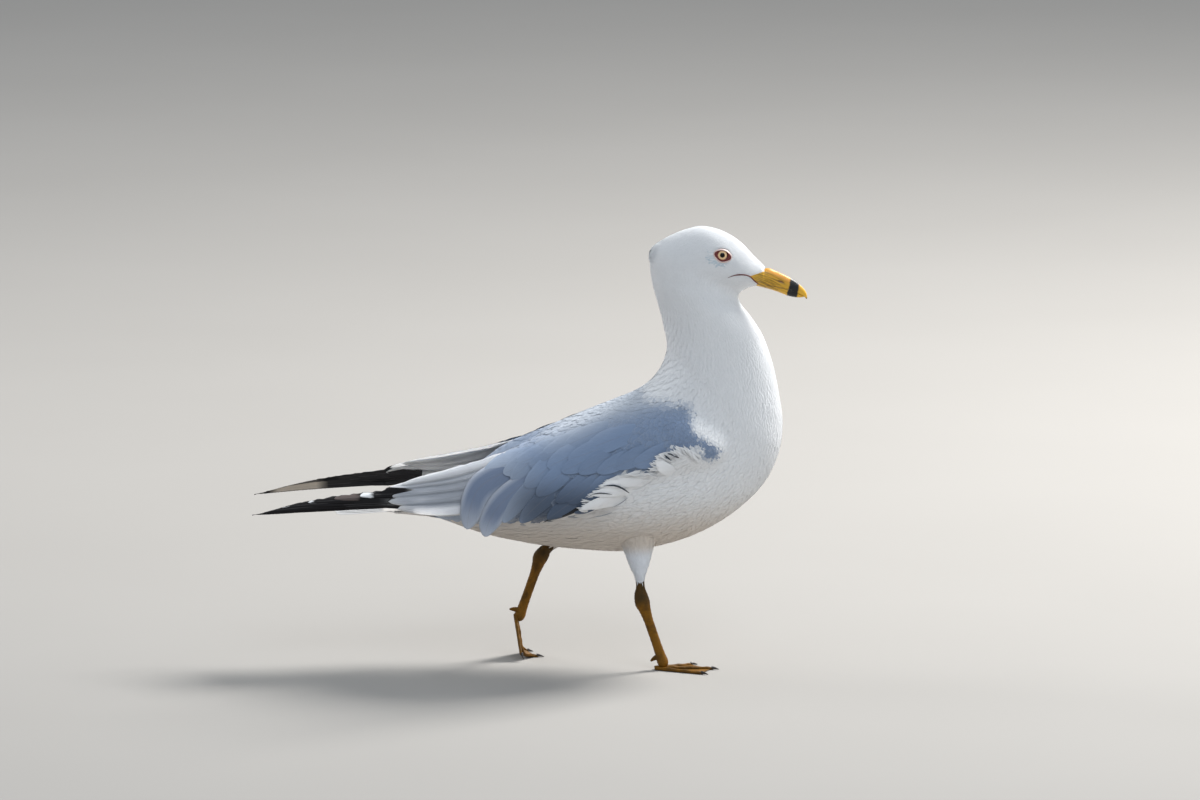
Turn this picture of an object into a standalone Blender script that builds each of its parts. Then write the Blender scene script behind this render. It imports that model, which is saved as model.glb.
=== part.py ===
"""A ring-billed gull in mid-stride, life size, as a still museum model.

+X is forward, +Y is the bird's left and +Z is up. The origin lies on the floor below the
middle of the bird. Numbers are millimetres until the point where a mesh is made.

The bird is built whole and parted with thin cuts. Head, neck, trunk and tail are lofts through
sections that stand on the line from the back to the belly. Each wing is a bent blade that lies
in a pocket of the trunk, with the tertials, the drooping secondaries and the primaries behind.
"""
import math

import bmesh
import bpy
from mathutils import Matrix, Vector

MM = 0.001
GAP = 0.3  # clearance between pieces that touch

# ---------------------------------------------------------------- driving dimensions
BILL_LENGTH = 40.2        # culmen, feathers to tip
BILL_DROOP = 26.0         # the bill's slope below level, degrees
BILL_BASE = (178.0, 304.2)   # x, z of the middle of the bill's base
EYE_CENTRE = (147.2, 12.8, 321.2)
EYE_RADIUS = 5.6
TARSUS_RADIUS = 3.8
FOOT_BACK = 6.0           # the toes fan out from a spot this far behind the root of the foot
FOOT_REACH = 52.0         # from that spot to the tip of the middle toe, claw included
FOOT_SLOPE = 80.0         # how steeply a raised foot stands, degrees below level
WEB_THICKNESS = 0.9
TAIL_TIP_X = -154.0
LEG_SPREAD = 25.0         # each leg from the middle plane
EDGE = 0.6                # thickness of the wings at their thin edges
RING = 26                 # points round a body section

# Each section of the body: back x, z; belly x, z; half width; how far the widest place lies
# above the middle, as a share of the half height.
BODY = [
    (-52, 146, -62, 113, 22, 0.10),    # rump, over the root of the tail
    (-31, 156, -36, 103, 31, 0.10),
    (-7, 171, -9, 97, 39, 0.10),       # hips
    (17, 185.5, 16, 93, 44, 0.08),
    (42, 198.5, 43, 90.5, 48, 0.05),
    (64, 207.5, 74, 89.5, 50, 0.0),      # deepest place of the belly
    (82, 215, 107, 95.5, 50.5, 0.0),
    (93, 223, 135, 106, 49, 0.0),  # shoulders
    (100, 232, 160, 122, 45.5, -0.04),
    (104, 241.3, 180, 142, 41.5, -0.06),   # breast
    (105.5, 250, 191.8, 166, 37, -0.05),
    (104.5, 258, 194.8, 190, 33, 0.0),
    (103, 264.5, 191.8, 213.5, 30, 0.0),
    (101.5, 272, 187, 236, 27.6, 0.0),
    (99, 281, 179.4, 257.5, 25.8, 0.0),  # neck
    (96.5, 290, 170.3, 272, 24.6, 0.0),
    (94, 299.5, 163.2, 281, 23.6, 0.0),
    (92.5, 310, 160.5, 287.5, 22, 0.0),   # throat
    (92.5, 320.5, 162, 291.5, 20.9, 0.05),  # nape
    (96, 328, 164.5, 293.5, 20.4, 0.05),
    (105.5, 334.5, 167.5, 295, 19.9, 0.0),
    (118, 340, 169.5, 295.8, 19, -0.05),
    (130.5, 343, 171.5, 296.2, 17.4, -0.10),  # crown, over the eye
    (142, 341.5, 173, 296.5, 15.7, -0.15),
    (153, 337, 174, 296.8, 13.6, -0.20),
    (163, 330, 175, 297, 11.4, -0.22),
    (171.5, 321, 175.8, 297.2, 9.4, -0.20),    # lores
    (177, 315.5, 176.4, 297.3, 7.8, -0.15),
    (181.4, 310.9, 177, 297.4, 6.4, -0.10),   # front edge of the feathers
]
NECK_FROM = 11.0     # section numbers where the body is parted
HEAD_FROM = 17.0

# The folded wing, shoulder to tertial tips. Each section stands across the bird: x; upper edge
# y, z; lower edge y, z; how far the blade bows out, as a share of its height; thickness.
WING = [
    (151, 41, 178, 42, 172.5, 0.12, 3.0),   # bend of the wing
    (146, 39, 187, 45, 167, 0.16, 8.0),
    (130, 35, 202, 49.5, 163, 0.17, 10.5),
    (110, 30, 211, 52, 159, 0.18, 11.5),
    (82, 20, 209.5, 53, 148, 0.19, 11.5),
    (50, 14, 200, 51.5, 132, 0.20, 11.0),
    (15, 12.5, 186, 48, 121, 0.20, 10.0),
    (-19, 11.5, 172.5, 44, 118, 0.19, 8.5),
    (-50, 11, 162.5, 41, 121, 0.16, 6.5),
    (-80, 11.5, 154.5, 38.5, 124, 0.12, 4.6),
    (-103, 14, 148, 37, 126, 0.10, 3.2),
    (-113, 20, 142.5, 33.5, 130, 0.06, 1.6),        # tips of the tertials
]
TERTIALS_FROM = 8.0
# The left wing is carried higher towards its tip: x, lift.
LEFT_LIFT = [(-20, 0.0), (-69, 4.2), (-100, 7.0), (-140, 6.4), (-214, 6.0)]

# Two inner secondaries that droop from each wing: x, z of the middle, half width, thickness.
DROOP = {
    "front": [(2, 150, 2.5, 0.8), (-8, 146, 5.5, 1.2), (-21, 137, 7.5, 1.4),
              (-31, 124, 7.2, 1.4), (-36, 114, 4.6, 1.0), (-37.5, 110.5, 1.6, 0.8)],
    "rear": [(-19, 157, 2.3, 0.8), (-28, 153.5, 5.0, 1.2), (-40, 143, 7.0, 1.4),
             (-47.5, 130, 6.8, 1.4), (-50.5, 121, 4.4, 1.0), (-51.5, 117, 1.6, 0.8)],
}

# The folded primaries: x; inner edge y, z; outer edge y, z; bow; thickness.
PRIMARIES = [
    (-72, 9, 143, 33, 121, 0.08, 3.2),
    (-92, 9.5, 141, 34, 123.5, 0.08, 3.2),
    (-115, 12, 141.5, 36, 129, 0.08, 3.0),
    (-154, 16, 137, 34.5, 127.2, 0.08, 2.4),
    (-177, 20, 132.5, 33, 125.2, 0.06, 1.9),
    (-196, 24, 127.8, 31.5, 124, 0.04, 1.4),
    (-211, 27.2, 123.8, 29.6, 122.6, 0.02, 0.9),
    (-214, 28, 122.9, 29, 122.4, 0.0, 0.7),
]

# The tail: x, middle height, half width, thickness.
TAIL = [
    (-68, 127.6, 23, 26),
    (-78, 126.2, 24.5, 18),
    (-90, 124.9, 25.5, 11.5),
    (-105, 124.2, 27, 6.5),
    (-125, 124.2, 28.5, 3.4),
    (-144, 124.4, 29, 2.0),
    (-151, 124.5, 25, 1.4),
    (TAIL_TIP_X, 124.6, 12, 1.0),
]

# The bill in its own frame: distance from the base; top of the upper bill; the edge where the
# two halves meet; bottom of the lower bill; half width.
BILL = [
    (-14.0, -4.4, -5.2, -6.2, 7.6),
    (-8.0, -1.8, -5.4, -7.4, 7.4),
    (-2.5, 3.4, -5.2, -8.3, 6.6),
    (2.0, 7.8, -4.9, -7.9, 5.6),
    (9.0, 8.4, -3.3, -6.5, 4.5),
    (17.0, 8.6, -1.4, -5.4, 3.8),
    (24.5, 8.1, 0.5, -4.8, 3.4),
    (30.0, 6.8, 1.3, -3.2, 2.8),
    (34.5, 5.1, 1.1, -1.6, 2.1),
    (38.0, 3.0, 0.3, None, 1.4),
    (BILL_LENGTH, 0.8, -0.6, None, 0.6),
]

# Legs, as seen from the side: hip, heel joint and foot joint, as x, z.
LEGS = {
    "right": {"hip": (83.2, 100), "heel": (85.6, 56), "foot": (103.5, 4.5), "side": -1},
    "left": {"hip": (36, 104), "heel": (8.8, 82), "foot": (-9.5, 30), "side": 1},
}
THIGH_END = 0.64     # where the thigh's feathers stop, as a share of the way to the heel
# The toes: name, angle out from the middle toe, reach as a share of FOOT_REACH, thickness.
TOES = [("inner", -29.0, 0.78, 2.5), ("middle", 0.0, 1.0, 2.9), ("outer", 26.0, 0.93, 2.6)]
WEB_DIP = 0.30       # how far the web's edge curves back between the claws
CLAW_LENGTH = 5.0
HIND_TOE_LENGTH = 5.5


# ---------------------------------------------------------------- shapes
def spline(rows, t):
    """Catmull-Rom value at place t through rows of numbers."""
    last = len(rows) - 1
    i = min(int(t), last - 1)
    f = t - i
    near = [rows[max(i - 1, 0)], rows[i], rows[i + 1], rows[min(i + 2, last)]]
    out = []
    for a, b, c, d in zip(*near):
        out.append(0.5 * (2 * b + (c - a) * f + (2 * a - 5 * b + 4 * c - d) * f * f
                          + (3 * b - a - 3 * c + d) * f ** 3))
    return out


def steps(start, end, count):
    return [start + (end - start) * i / (count - 1) for i in range(count)]


def new_object(name, mesh, material):
    obj = bpy.data.objects.new(name, mesh)
    obj.data.materials.append(material)
    PARTS.objects.link(obj)
    return obj


def loft(name, rings, material, smooth_angle=40):
    """A closed solid through rings of points in millimetres, with a flat cap on each end."""
    bm = bmesh.new()
    loops = [[bm.verts.new(Vector(p) * MM) for p in ring] for ring in rings]
    for a, b in zip(loops, loops[1:]):
        for i in range(len(a)):
            j = (i + 1) % len(a)
            bm.faces.new((a[i], a[j], b[j]))
            bm.faces.new((a[i], b[j], b[i]))
    for loop in (loops[0], loops[-1]):
        bm.faces.new(loop)
    bmesh.ops.triangulate(bm, faces=[f for f in bm.faces if len(f.verts) > 4])
    bmesh.ops.recalc_face_normals(bm, faces=bm.faces)
    mesh = bpy.data.meshes.new(name)
    bm.to_mesh(mesh)
    bm.free()
    mesh.shade_smooth()
    mesh.set_sharp_from_angle(angle=math.radians(smooth_angle))
    return new_object(name, mesh, material)


def cut(target, cutter):
    """Takes the cutter out of the target for good, and removes the cutter."""
    knife = target.modifiers.new("cut", "BOOLEAN")
    knife.operation = "DIFFERENCE"
    knife.object = cutter
    bpy.context.view_layer.update()
    shape = target.evaluated_get(bpy.context.evaluated_depsgraph_get())
    mesh = bpy.data.meshes.new_from_object(shape)
    target.modifiers.clear()
    target.data = mesh
    bpy.data.objects.remove(cutter)


def paint(name, colour, roughness):
    material = bpy.data.materials.new(name)
    material.use_nodes = True
    shader = material.node_tree.nodes["Principled BSDF"]
    shader.inputs["Base Color"].default_value = (*colour, 1)
    shader.inputs["Roughness"].default_value = roughness
    material.diffuse_color = (*colour, 1)
    return material


# ---------------------------------------------------------------- body
def body_ring(t, shift=0.0):
    """One section of the body. Shift moves it along its own normal, towards the head."""
    back_x, back_z, belly_x, belly_z, half_width, rise = spline(BODY, t)
    middle = Vector(((back_x + belly_x) / 2, 0, (back_z + belly_z) / 2))
    up = Vector((back_x - belly_x, 0, back_z - belly_z)) / 2
    half_height = up.length
    up.normalize()
    ahead = Vector((up.z, 0, -up.x))
    ring = []
    for i in range(RING):
        angle = 2 * math.pi * i / RING
        high = math.cos(angle)
        ring.append(middle + ahead * shift
                    + up * half_height * (high + rise * (1 - high * high))
                    + Vector((0, half_width * math.sin(angle), 0)))
    return ring


def body_part(name, start, end, count, material):
    """A length of the body between two section numbers, cut back half a gap at each joint."""
    rings = [body_ring(t) for t in steps(start, end, count)]
    if start > 0:
        rings[0] = body_ring(start, GAP / 2)
    if end < len(BODY) - 1:
        rings[-1] = body_ring(end, -GAP / 2)
    return loft(name, rings, material)


# ---------------------------------------------------------------- wings and tail
def blade_ring(row, side, grow, lift, points=8):
    """A bowed lens across the bird: outer face from the upper edge down, inner face back up."""
    x, top_y, top_z, low_y, low_z, bow, thickness = row
    top = Vector((top_y, top_z))
    low = Vector((low_y, low_z))
    run = low - top
    out = Vector((-run.y, run.x)).normalized()
    if out.x < 0:
        out = -out
    edge = run.normalized() * grow
    outer, inner = [], []
    for i in range(points):
        s = i / (points - 1)
        spot = top - edge + (run + 2 * edge) * s + out * bow * run.length * 4 * s * (1 - s)
        half = max(thickness / 2 * math.sqrt(4 * s * (1 - s)), EDGE / 2) + grow
        outer.append(spot + out * half)
        inner.append(spot - out * half)
    return [Vector((x, side * p.x, p.y + lift)) for p in outer + inner[::-1]]


def raised(x):
    """How much higher the left wing is carried at x."""
    if x >= LEFT_LIFT[0][0]:
        return 0.0
    for (x0, lift0), (x1, lift1) in zip(LEFT_LIFT, LEFT_LIFT[1:]):
        if x >= x1:
            return lift0 + (lift1 - lift0) * (x0 - x) / (x0 - x1)
    return LEFT_LIFT[-1][1]


def blade(name, rows, side, material, start, end, count, grow=0.0):
    """A folded wing part between two section numbers, grown on every side for a cutter."""
    rings = []
    for t in steps(start, end, count):
        row = spline(rows, t)
        lift = raised(row[0]) if side > 0 else 0.0
        rings.append(blade_ring(row, side, grow, lift))
    if grow:
        ahead = Vector((grow, 0, 0))
        rings[0] = [p + ahead for p in rings[0]]
        rings[-1] = [p - ahead for p in rings[-1]]
    return loft(name, rings, material)


def wing_side(x, z):
    """How far out the folded wing's face lies, straight down from 8 mm above its lower edge."""
    low, high = 0.0, len(WING) - 1.0
    for _ in range(20):
        middle = (low + high) / 2
        if spline(WING, middle)[0] > x:
            low = middle
        else:
            high = middle
    face = blade_ring(spline(WING, low), 1, 0.0, 0.0, 17)[:17]
    z = max(z, face[-1].z + 8)
    for a, b in zip(face, face[1:]):
        if a.z >= z >= b.z:
            return a.y + (b.y - a.y) * (a.z - z) / (a.z - b.z)
    return face[-1].y if z < face[-1].z else face[0].y


def drooping_feather(name, side, stops, material, count=7):
    """One long inner secondary that lies on the folded wing and hangs below its edge."""
    rings = []
    for t in steps(0, len(stops) - 1, count):
        x, z, half_width, thickness = spline(stops, t)
        before = Vector(spline(stops, max(t - 0.05, 0))[:2])
        after = Vector(spline(stops, min(t + 0.05, len(stops) - 1))[:2])
        along = (after - before).normalized()
        outer, inner = [], []
        for u in (-1, -0.55, 0, 0.55, 1):
            spot = Vector((x, z)) + Vector((along.y, -along.x)) * half_width * u
            lift = raised(spot.x) if side > 0 else 0.0
            bed = wing_side(spot.x, spot.y) + 3.2 * GAP
            thick = EDGE + (thickness - EDGE) * (1 - u * u)
            inner.append(Vector((spot.x, side * bed, spot.y + lift)))
            outer.append(Vector((spot.x, side * (bed + thick), spot.y + lift)))
        rings.append(outer + inner[::-1])
    return loft(name, rings, material)


def tail(name, material):
    """The closed tail: from the trunk's last section to a thin fan with a rounded end."""
    rings = [body_ring(0, -GAP)]
    for t in steps(0, len(TAIL) - 1, 10):
        x, z, half_width, thickness = spline(TAIL, t)
        ring = []
        for i in range(RING):
            angle = 2 * math.pi * i / RING
            ring.append(Vector((x, half_width * math.sin(angle),
                                z + max(thickness, 1.0) / 2 * math.cos(angle))))
        rings.append(ring)
    return loft(name, rings, material)


# ---------------------------------------------------------------- head
def bill_frame():
    """Turns the bill's own lengths and heights into the bird's frame."""
    slope = math.radians(BILL_DROOP)
    return (Matrix.Translation((BILL_BASE[0], 0, BILL_BASE[1]))
            @ Matrix.Rotation(slope, 4, "Y"))


def bill_half(name, upper, material, count=12):
    """Upper or lower half: an arch over a flat cutting edge, or the same upside down."""
    rows = [(x, top if upper else low, edge, width) for x, top, edge, low, width in BILL
            if upper or low is not None]
    place = bill_frame()
    rings = []
    for t in steps(0, len(rows) - 1, count):
        x, crest, edge, width = spline(rows, t)
        floor = edge + (GAP / 2 if upper else -GAP / 2)
        rise = crest - floor
        ring = []
        for i in range(11):
            angle = math.pi * i / 10
            ring.append(place @ Vector((x, width * math.cos(angle),
                                        floor + rise * math.sin(angle) ** 0.8)))
        for y in (-width / 2, 0, width / 2):
            ring.append(place @ Vector((x, y, floor)))
        rings.append(ring)
    return loft(name, rings, material, 50)


def bill_socket(name, material, rooted=5):
    """The whole root of the bill, grown a little more than the gap, to cut its seat."""
    place = bill_frame()
    grow = 1.5 * GAP
    rings = []
    for t in steps(0, rooted, 8):
        x, crest, edge, low, width = spline(BILL[:rooted + 1], t)
        ring = []
        for i in range(20):
            angle = 2 * math.pi * i / 20
            rise = (crest - edge if angle < math.pi else edge - low) + grow
            swell = math.copysign(abs(math.sin(angle)) ** 0.8, math.sin(angle))
            ring.append(place @ Vector((x - grow * (t == 0), (width + grow) * math.cos(angle),
                                        edge + rise * swell)))
        rings.append(ring)
    return loft(name, rings, material)


def eye(name, side, material, radius=EYE_RADIUS):
    x, y, z = EYE_CENTRE
    bpy.ops.mesh.primitive_uv_sphere_add(
        segments=14, ring_count=8, radius=radius * MM,
        location=(x * MM, side * y * MM, z * MM), rotation=(math.pi / 2, 0, 0))
    obj = bpy.context.active_object
    obj.name = name
    obj.data.materials.append(material)
    obj.data.shade_smooth()
    for owner in list(obj.users_collection):
        owner.objects.unlink(obj)
    PARTS.objects.link(obj)
    return obj


# ---------------------------------------------------------------- legs and feet
def limb(name, stops, material, points=10, count=13):
    """A tube through stops: centre x, y, z, half depth fore and aft, half width."""
    rings = []
    for t in steps(0, len(stops) - 1, count):
        x, y, z, deep, wide = spline(stops, t)
        before = Vector(spline(stops, max(t - 0.05, 0))[:3])
        after = Vector(spline(stops, min(t + 0.05, len(stops) - 1))[:3])
        along = (after - before).normalized()
        fore = Vector((0, 1, 0)).cross(along).normalized()
        rings.append([Vector((x, y, z)) + fore * deep * math.cos(a)
                      + Vector((0, wide * math.sin(a), 0))
                      for a in (2 * math.pi * i / points for i in range(points))])
    return loft(name, rings, material)


def thigh(name, leg, material, grow=0.0):
    """The feathered thigh: a cone from the belly to a ragged point above the heel."""
    hip_x, hip_z = leg["hip"]
    heel_x, heel_z = leg["heel"]
    length = math.hypot(heel_x - hip_x, heel_z - hip_z)
    y = leg["side"] * LEG_SPREAD
    stops = []
    for share, deep, wide in [(0.06 - grow / length, 12, 11), (0.32, 9.2, 8.2),
                              (0.50, 7.2, 6.3), (THIGH_END, 3.9, 3.7)]:
        stops.append((hip_x + (heel_x - hip_x) * share, y,
                      hip_z + (heel_z - hip_z) * share, deep + grow, wide + grow))
    return limb(name, stops, material, 12, 6)


def shank(name, leg, material):
    """Bare shin, knobbed heel joint and the long foot bone, down to the foot's joint."""
    hip_x, hip_z = leg["hip"]
    heel_x, heel_z = leg["heel"]
    foot_x, foot_z = leg["foot"]
    y = leg["side"] * LEG_SPREAD
    r = TARSUS_RADIUS
    start = THIGH_END + GAP / math.hypot(heel_x - hip_x, heel_z - hip_z)
    shin = [(start, 3.3, 2.9), (0.80, 3.6, 3.0), (0.93, 5.2, 3.8)]
    bone = [(0.07, 6.0, 4.2), (0.20, 4.6, 3.3), (0.45, r, 2.7), (0.8, r, 2.7),
            (1 - 2.3 / (heel_z - foot_z), 3.9, 3.5)]
    stops = [(hip_x + (heel_x - hip_x) * s, y, hip_z + (heel_z - hip_z) * s, d, w)
             for s, d, w in shin]
    stops += [(heel_x + (foot_x - heel_x) * s, y, heel_z + (foot_z - heel_z) * s, d, w)
              for s, d, w in bone]
    return limb(name, stops, material)


def foot_path(leg, distance):
    """The line of the sole and its slope: level on the floor, or down from a raised joint."""
    foot_x, foot_z = leg["foot"]
    if foot_z < 10:
        return Vector((foot_x - 3.5 - FOOT_BACK + distance, 0, 0)), 0.0
    steep = math.radians(FOOT_SLOPE)
    along = Vector((math.cos(steep), 0, -math.sin(steep)))
    start = Vector((foot_x - 3.2, 0, foot_z)) - along * FOOT_BACK
    bend = 9.0                                   # radius of the bend at the floor
    straight = (start.z - bend * (1 - math.cos(steep))) / math.sin(steep)
    if distance <= straight:
        return start + along * distance, steep
    knee = start + along * straight
    left = steep - min((distance - straight) / bend, steep)
    spot = knee + Vector((bend * (math.sin(steep) - math.sin(left)), 0,
                          -bend * (math.cos(left) - math.cos(steep))))
    spot.x += max(distance - straight - bend * steep, 0.0)
    return spot, left


def foot_point(leg, reach, angle, height):
    """A place on the foot: reach from its joint, angle out from the middle toe, height."""
    across = reach * math.sin(angle)
    spot, slope = foot_path(leg, reach * math.cos(angle))
    spot += Vector((math.sin(slope), 0, math.cos(slope))) * height
    spot.y = leg["side"] * (LEG_SPREAD + across)
    return spot


def toe_height(reach, angle):
    """Height of the foot's upper side: the web, with a rounded ridge along each toe."""
    height = WEB_THICKNESS
    for _, toe_angle, share, thick in TOES:
        away = abs(reach * (angle - math.radians(toe_angle)))
        half = thick * (1.15 - 0.45 * min(reach / (FOOT_REACH * share), 1))
        if away < half:
            height = max(height, WEB_THICKNESS
                         + 1.3 * half * math.sqrt(1 - (away / half) ** 2))
    return height


def foot_edge(angle):
    """How far the foot reaches at an angle: to the claws at the toes, less between them."""
    spots = [(math.radians(a), share * FOOT_REACH - CLAW_LENGTH) for _, a, share, _ in TOES]
    for (a0, r0), (a1, r1) in zip(spots, spots[1:]):
        if angle <= a1 or a1 == spots[-1][0]:
            f = min(max((angle - a0) / (a1 - a0), 0.0), 1.0)
            return (r0 + (r1 - r0) * f) * (1 - WEB_DIP * 4 * f * (1 - f) * 0.75)
    return spots[-1][1]


def foot(name, leg, material, rings=9):
    """Three toes joined by webs: a fan of heights over a flat sole, closed all round."""
    low, high = TOES[0][1], TOES[-1][1]
    margin = 4.0
    angles = []
    for (_, a0, _, _), (_, a1, _, _) in zip(TOES, TOES[1:]):
        angles += [a0 + (a1 - a0) * f for f in (0, 0.14, 0.5, 0.86)]
    angles = [low - margin] + angles + [high, high + margin]
    angles = [math.radians(a) for a in angles]
    bm = bmesh.new()
    top, sole = [], []
    for j in range(rings):
        top_row, sole_row = [], []
        for k, angle in enumerate(angles):
            inside = min(max(angle, math.radians(low)), math.radians(high))
            reach = FOOT_BACK + (foot_edge(inside) - FOOT_BACK) * j / (rings - 1)
            tall = toe_height(reach, angle)
            if k in (0, len(angles) - 1) or j == rings - 1:
                tall = min(tall, 1.6)
            top_row.append(bm.verts.new(foot_point(leg, reach, angle, tall) * MM))
            sole_row.append(bm.verts.new(foot_point(leg, reach, angle, 0.0) * MM))
        top.append(top_row)
        sole.append(sole_row)
    for sheet in (top, sole):
        for a, b in zip(sheet, sheet[1:]):
            for k in range(len(angles) - 1):
                bm.faces.new((a[k], a[k + 1], b[k + 1], b[k]))
    rim_top = top[0] + [r[-1] for r in top[1:]] + top[-1][-2::-1] + [r[0] for r in top[-2:0:-1]]
    rim_low = sole[0] + [r[-1] for r in sole[1:]] + sole[-1][-2::-1] + [r[0] for r in sole[-2:0:-1]]
    for i in range(len(rim_top)):
        j = (i + 1) % len(rim_top)
        bm.faces.new((rim_top[i], rim_top[j], rim_low[j], rim_low[i]))
    bmesh.ops.recalc_face_normals(bm, faces=bm.faces)
    mesh = bpy.data.meshes.new(name)
    bm.to_mesh(mesh)
    bm.free()
    mesh.shade_smooth()
    mesh.set_sharp_from_angle(angle=math.radians(50))
    return new_object(name, mesh, material)


def claw(name, leg, toe_angle, share, material):
    """A short curved claw that runs on from the end of a toe."""
    angle = math.radians(toe_angle)
    base = share * FOOT_REACH - CLAW_LENGTH + GAP
    rings = []
    for t in steps(0.0, 1.0, 5):
        reach = base + CLAW_LENGTH * t
        radius = 1.15 * (1 - t) ** 0.7 + 0.18
        centre = 1.3 - 0.75 * t * t
        ring = []
        for i in range(6):
            turn = 2 * math.pi * i / 6
            swing = radius * math.cos(turn) / reach
            height = max(centre + radius * math.sin(turn), 0.05)
            ring.append(foot_point(leg, reach, angle + swing, height))
        rings.append(ring)
    return loft(name, rings, material)


def hind_toe(name, leg, material):
    """The small hind toe, set a little above the foot's joint and pointing back."""
    heel_x, heel_z = leg["heel"]
    foot_x, foot_z = leg["foot"]
    y = leg["side"] * (LEG_SPREAD - 1.0)
    along = Vector((foot_x - heel_x, 0, foot_z - heel_z)).normalized()
    back = Vector((0, 1, 0)).cross(along)
    if back.x > 0:
        back = -back
    root = Vector((foot_x, y, foot_z)) - along * 7.0 + back * (TARSUS_RADIUS + GAP + 0.35)
    stops = []
    for s, r in [(0, 1.9), (0.5, 1.5), (0.8, 0.9), (1.0, 0.45)]:
        spot = root + back * HIND_TOE_LENGTH * s + along * 1.6 * s * s
        stops.append((spot.x, spot.y, spot.z, r, r * 0.8))
    return limb(name, stops, material, 6, 6)


# ---------------------------------------------------------------- the bird
def build_body(white, yellow, iris):
    last = len(BODY) - 1
    trunk = body_part("trunk", 0, NECK_FROM, 16, white)
    body_part("neck", NECK_FROM, HEAD_FROM, 7, white)
    head = body_part("head", HEAD_FROM, last, 15, white)
    bill_half("bill_upper", True, yellow)
    bill_half("bill_lower", False, yellow)
    cut(head, bill_socket("bill_cutter", yellow))
    for label, side in (("right", -1), ("left", 1)):
        cut(head, eye("eye_cutter", side, iris, EYE_RADIUS + GAP))
        eye(f"eye_{label}", side, iris)
    return trunk


def build_wings(trunk, tail_part, grey, black):
    """Each wing lies in a pocket of the trunk; what lies under it is cut to fit as well."""
    last = len(WING) - 1
    tip = len(PRIMARIES) - 1
    for label, side in (("right", -1), ("left", 1)):
        cut(trunk, blade("wing_cutter", WING, side, grey, 0, last, 23, GAP))
        cut(tail_part, blade("wing_cutter", WING, side, grey, 7, last, 9, GAP))
        blade(f"wing_{label}", WING, side, grey, 0, TERTIALS_FROM - 0.006, 17)
        blade(f"tertials_{label}", WING, side, grey, TERTIALS_FROM + 0.006, last, 7)
        cut(tail_part, blade("wing_cutter", PRIMARIES, side, black, 0, tip, 10, GAP))
        primaries = blade(f"primaries_{label}", PRIMARIES, side, black, 0, tip, 10)
        cut(primaries, blade("wing_cutter", WING, side, grey, 7, last, 9, GAP))
        for spot, stops in DROOP.items():
            drooping_feather(f"secondary_{spot}_{label}", side, stops, grey)


def build_legs(trunk, white, yellow, horn):
    for label, leg in LEGS.items():
        cut(trunk, thigh("thigh_cutter", leg, white, GAP))
        thigh(f"thigh_{label}", leg, white)
        shank(f"leg_{label}", leg, yellow)
        foot(f"foot_{label}", leg, yellow)
        for toe_name, toe_angle, share, _ in TOES:
            claw(f"claw_{toe_name}_{label}", leg, toe_angle, share, horn)
        hind_toe(f"hind_toe_{label}", leg, yellow)


def main():
    white = paint("white_plumage", (0.86, 0.87, 0.88), 0.8)
    grey = paint("grey_plumage", (0.42, 0.46, 0.53), 0.75)
    black = paint("black_plumage", (0.02, 0.018, 0.018), 0.6)
    yellow = paint("yellow_horn", (0.75, 0.45, 0.04), 0.4)
    horn = paint("dark_claw", (0.03, 0.025, 0.02), 0.35)
    iris = paint("pale_eye", (0.85, 0.68, 0.35), 0.1)
    trunk = build_body(white, yellow, iris)
    tail_part = tail("tail", white)
    build_wings(trunk, tail_part, grey, black)
    build_legs(trunk, white, yellow, horn)


for old in list(bpy.data.objects):
    bpy.data.objects.remove(old)
PARTS = bpy.data.collections.new("ring-billed gull")
bpy.context.scene.collection.children.link(PARTS)
main()
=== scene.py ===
import math

import bpy
import numpy as np
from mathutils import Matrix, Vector


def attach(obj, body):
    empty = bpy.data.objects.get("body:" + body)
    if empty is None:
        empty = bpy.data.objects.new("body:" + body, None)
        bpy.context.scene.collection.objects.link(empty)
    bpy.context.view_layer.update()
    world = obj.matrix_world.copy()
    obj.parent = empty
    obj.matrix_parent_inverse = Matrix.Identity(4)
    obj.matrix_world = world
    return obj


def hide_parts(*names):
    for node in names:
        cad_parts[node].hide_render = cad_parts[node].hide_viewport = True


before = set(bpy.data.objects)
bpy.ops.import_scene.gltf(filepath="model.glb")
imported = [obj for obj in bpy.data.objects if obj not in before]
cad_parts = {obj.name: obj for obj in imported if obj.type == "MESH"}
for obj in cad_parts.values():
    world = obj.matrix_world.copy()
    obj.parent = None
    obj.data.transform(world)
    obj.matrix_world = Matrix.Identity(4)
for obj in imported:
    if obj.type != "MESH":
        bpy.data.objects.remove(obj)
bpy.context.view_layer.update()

MM = 0.001
TURN = 2 * math.pi

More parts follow.
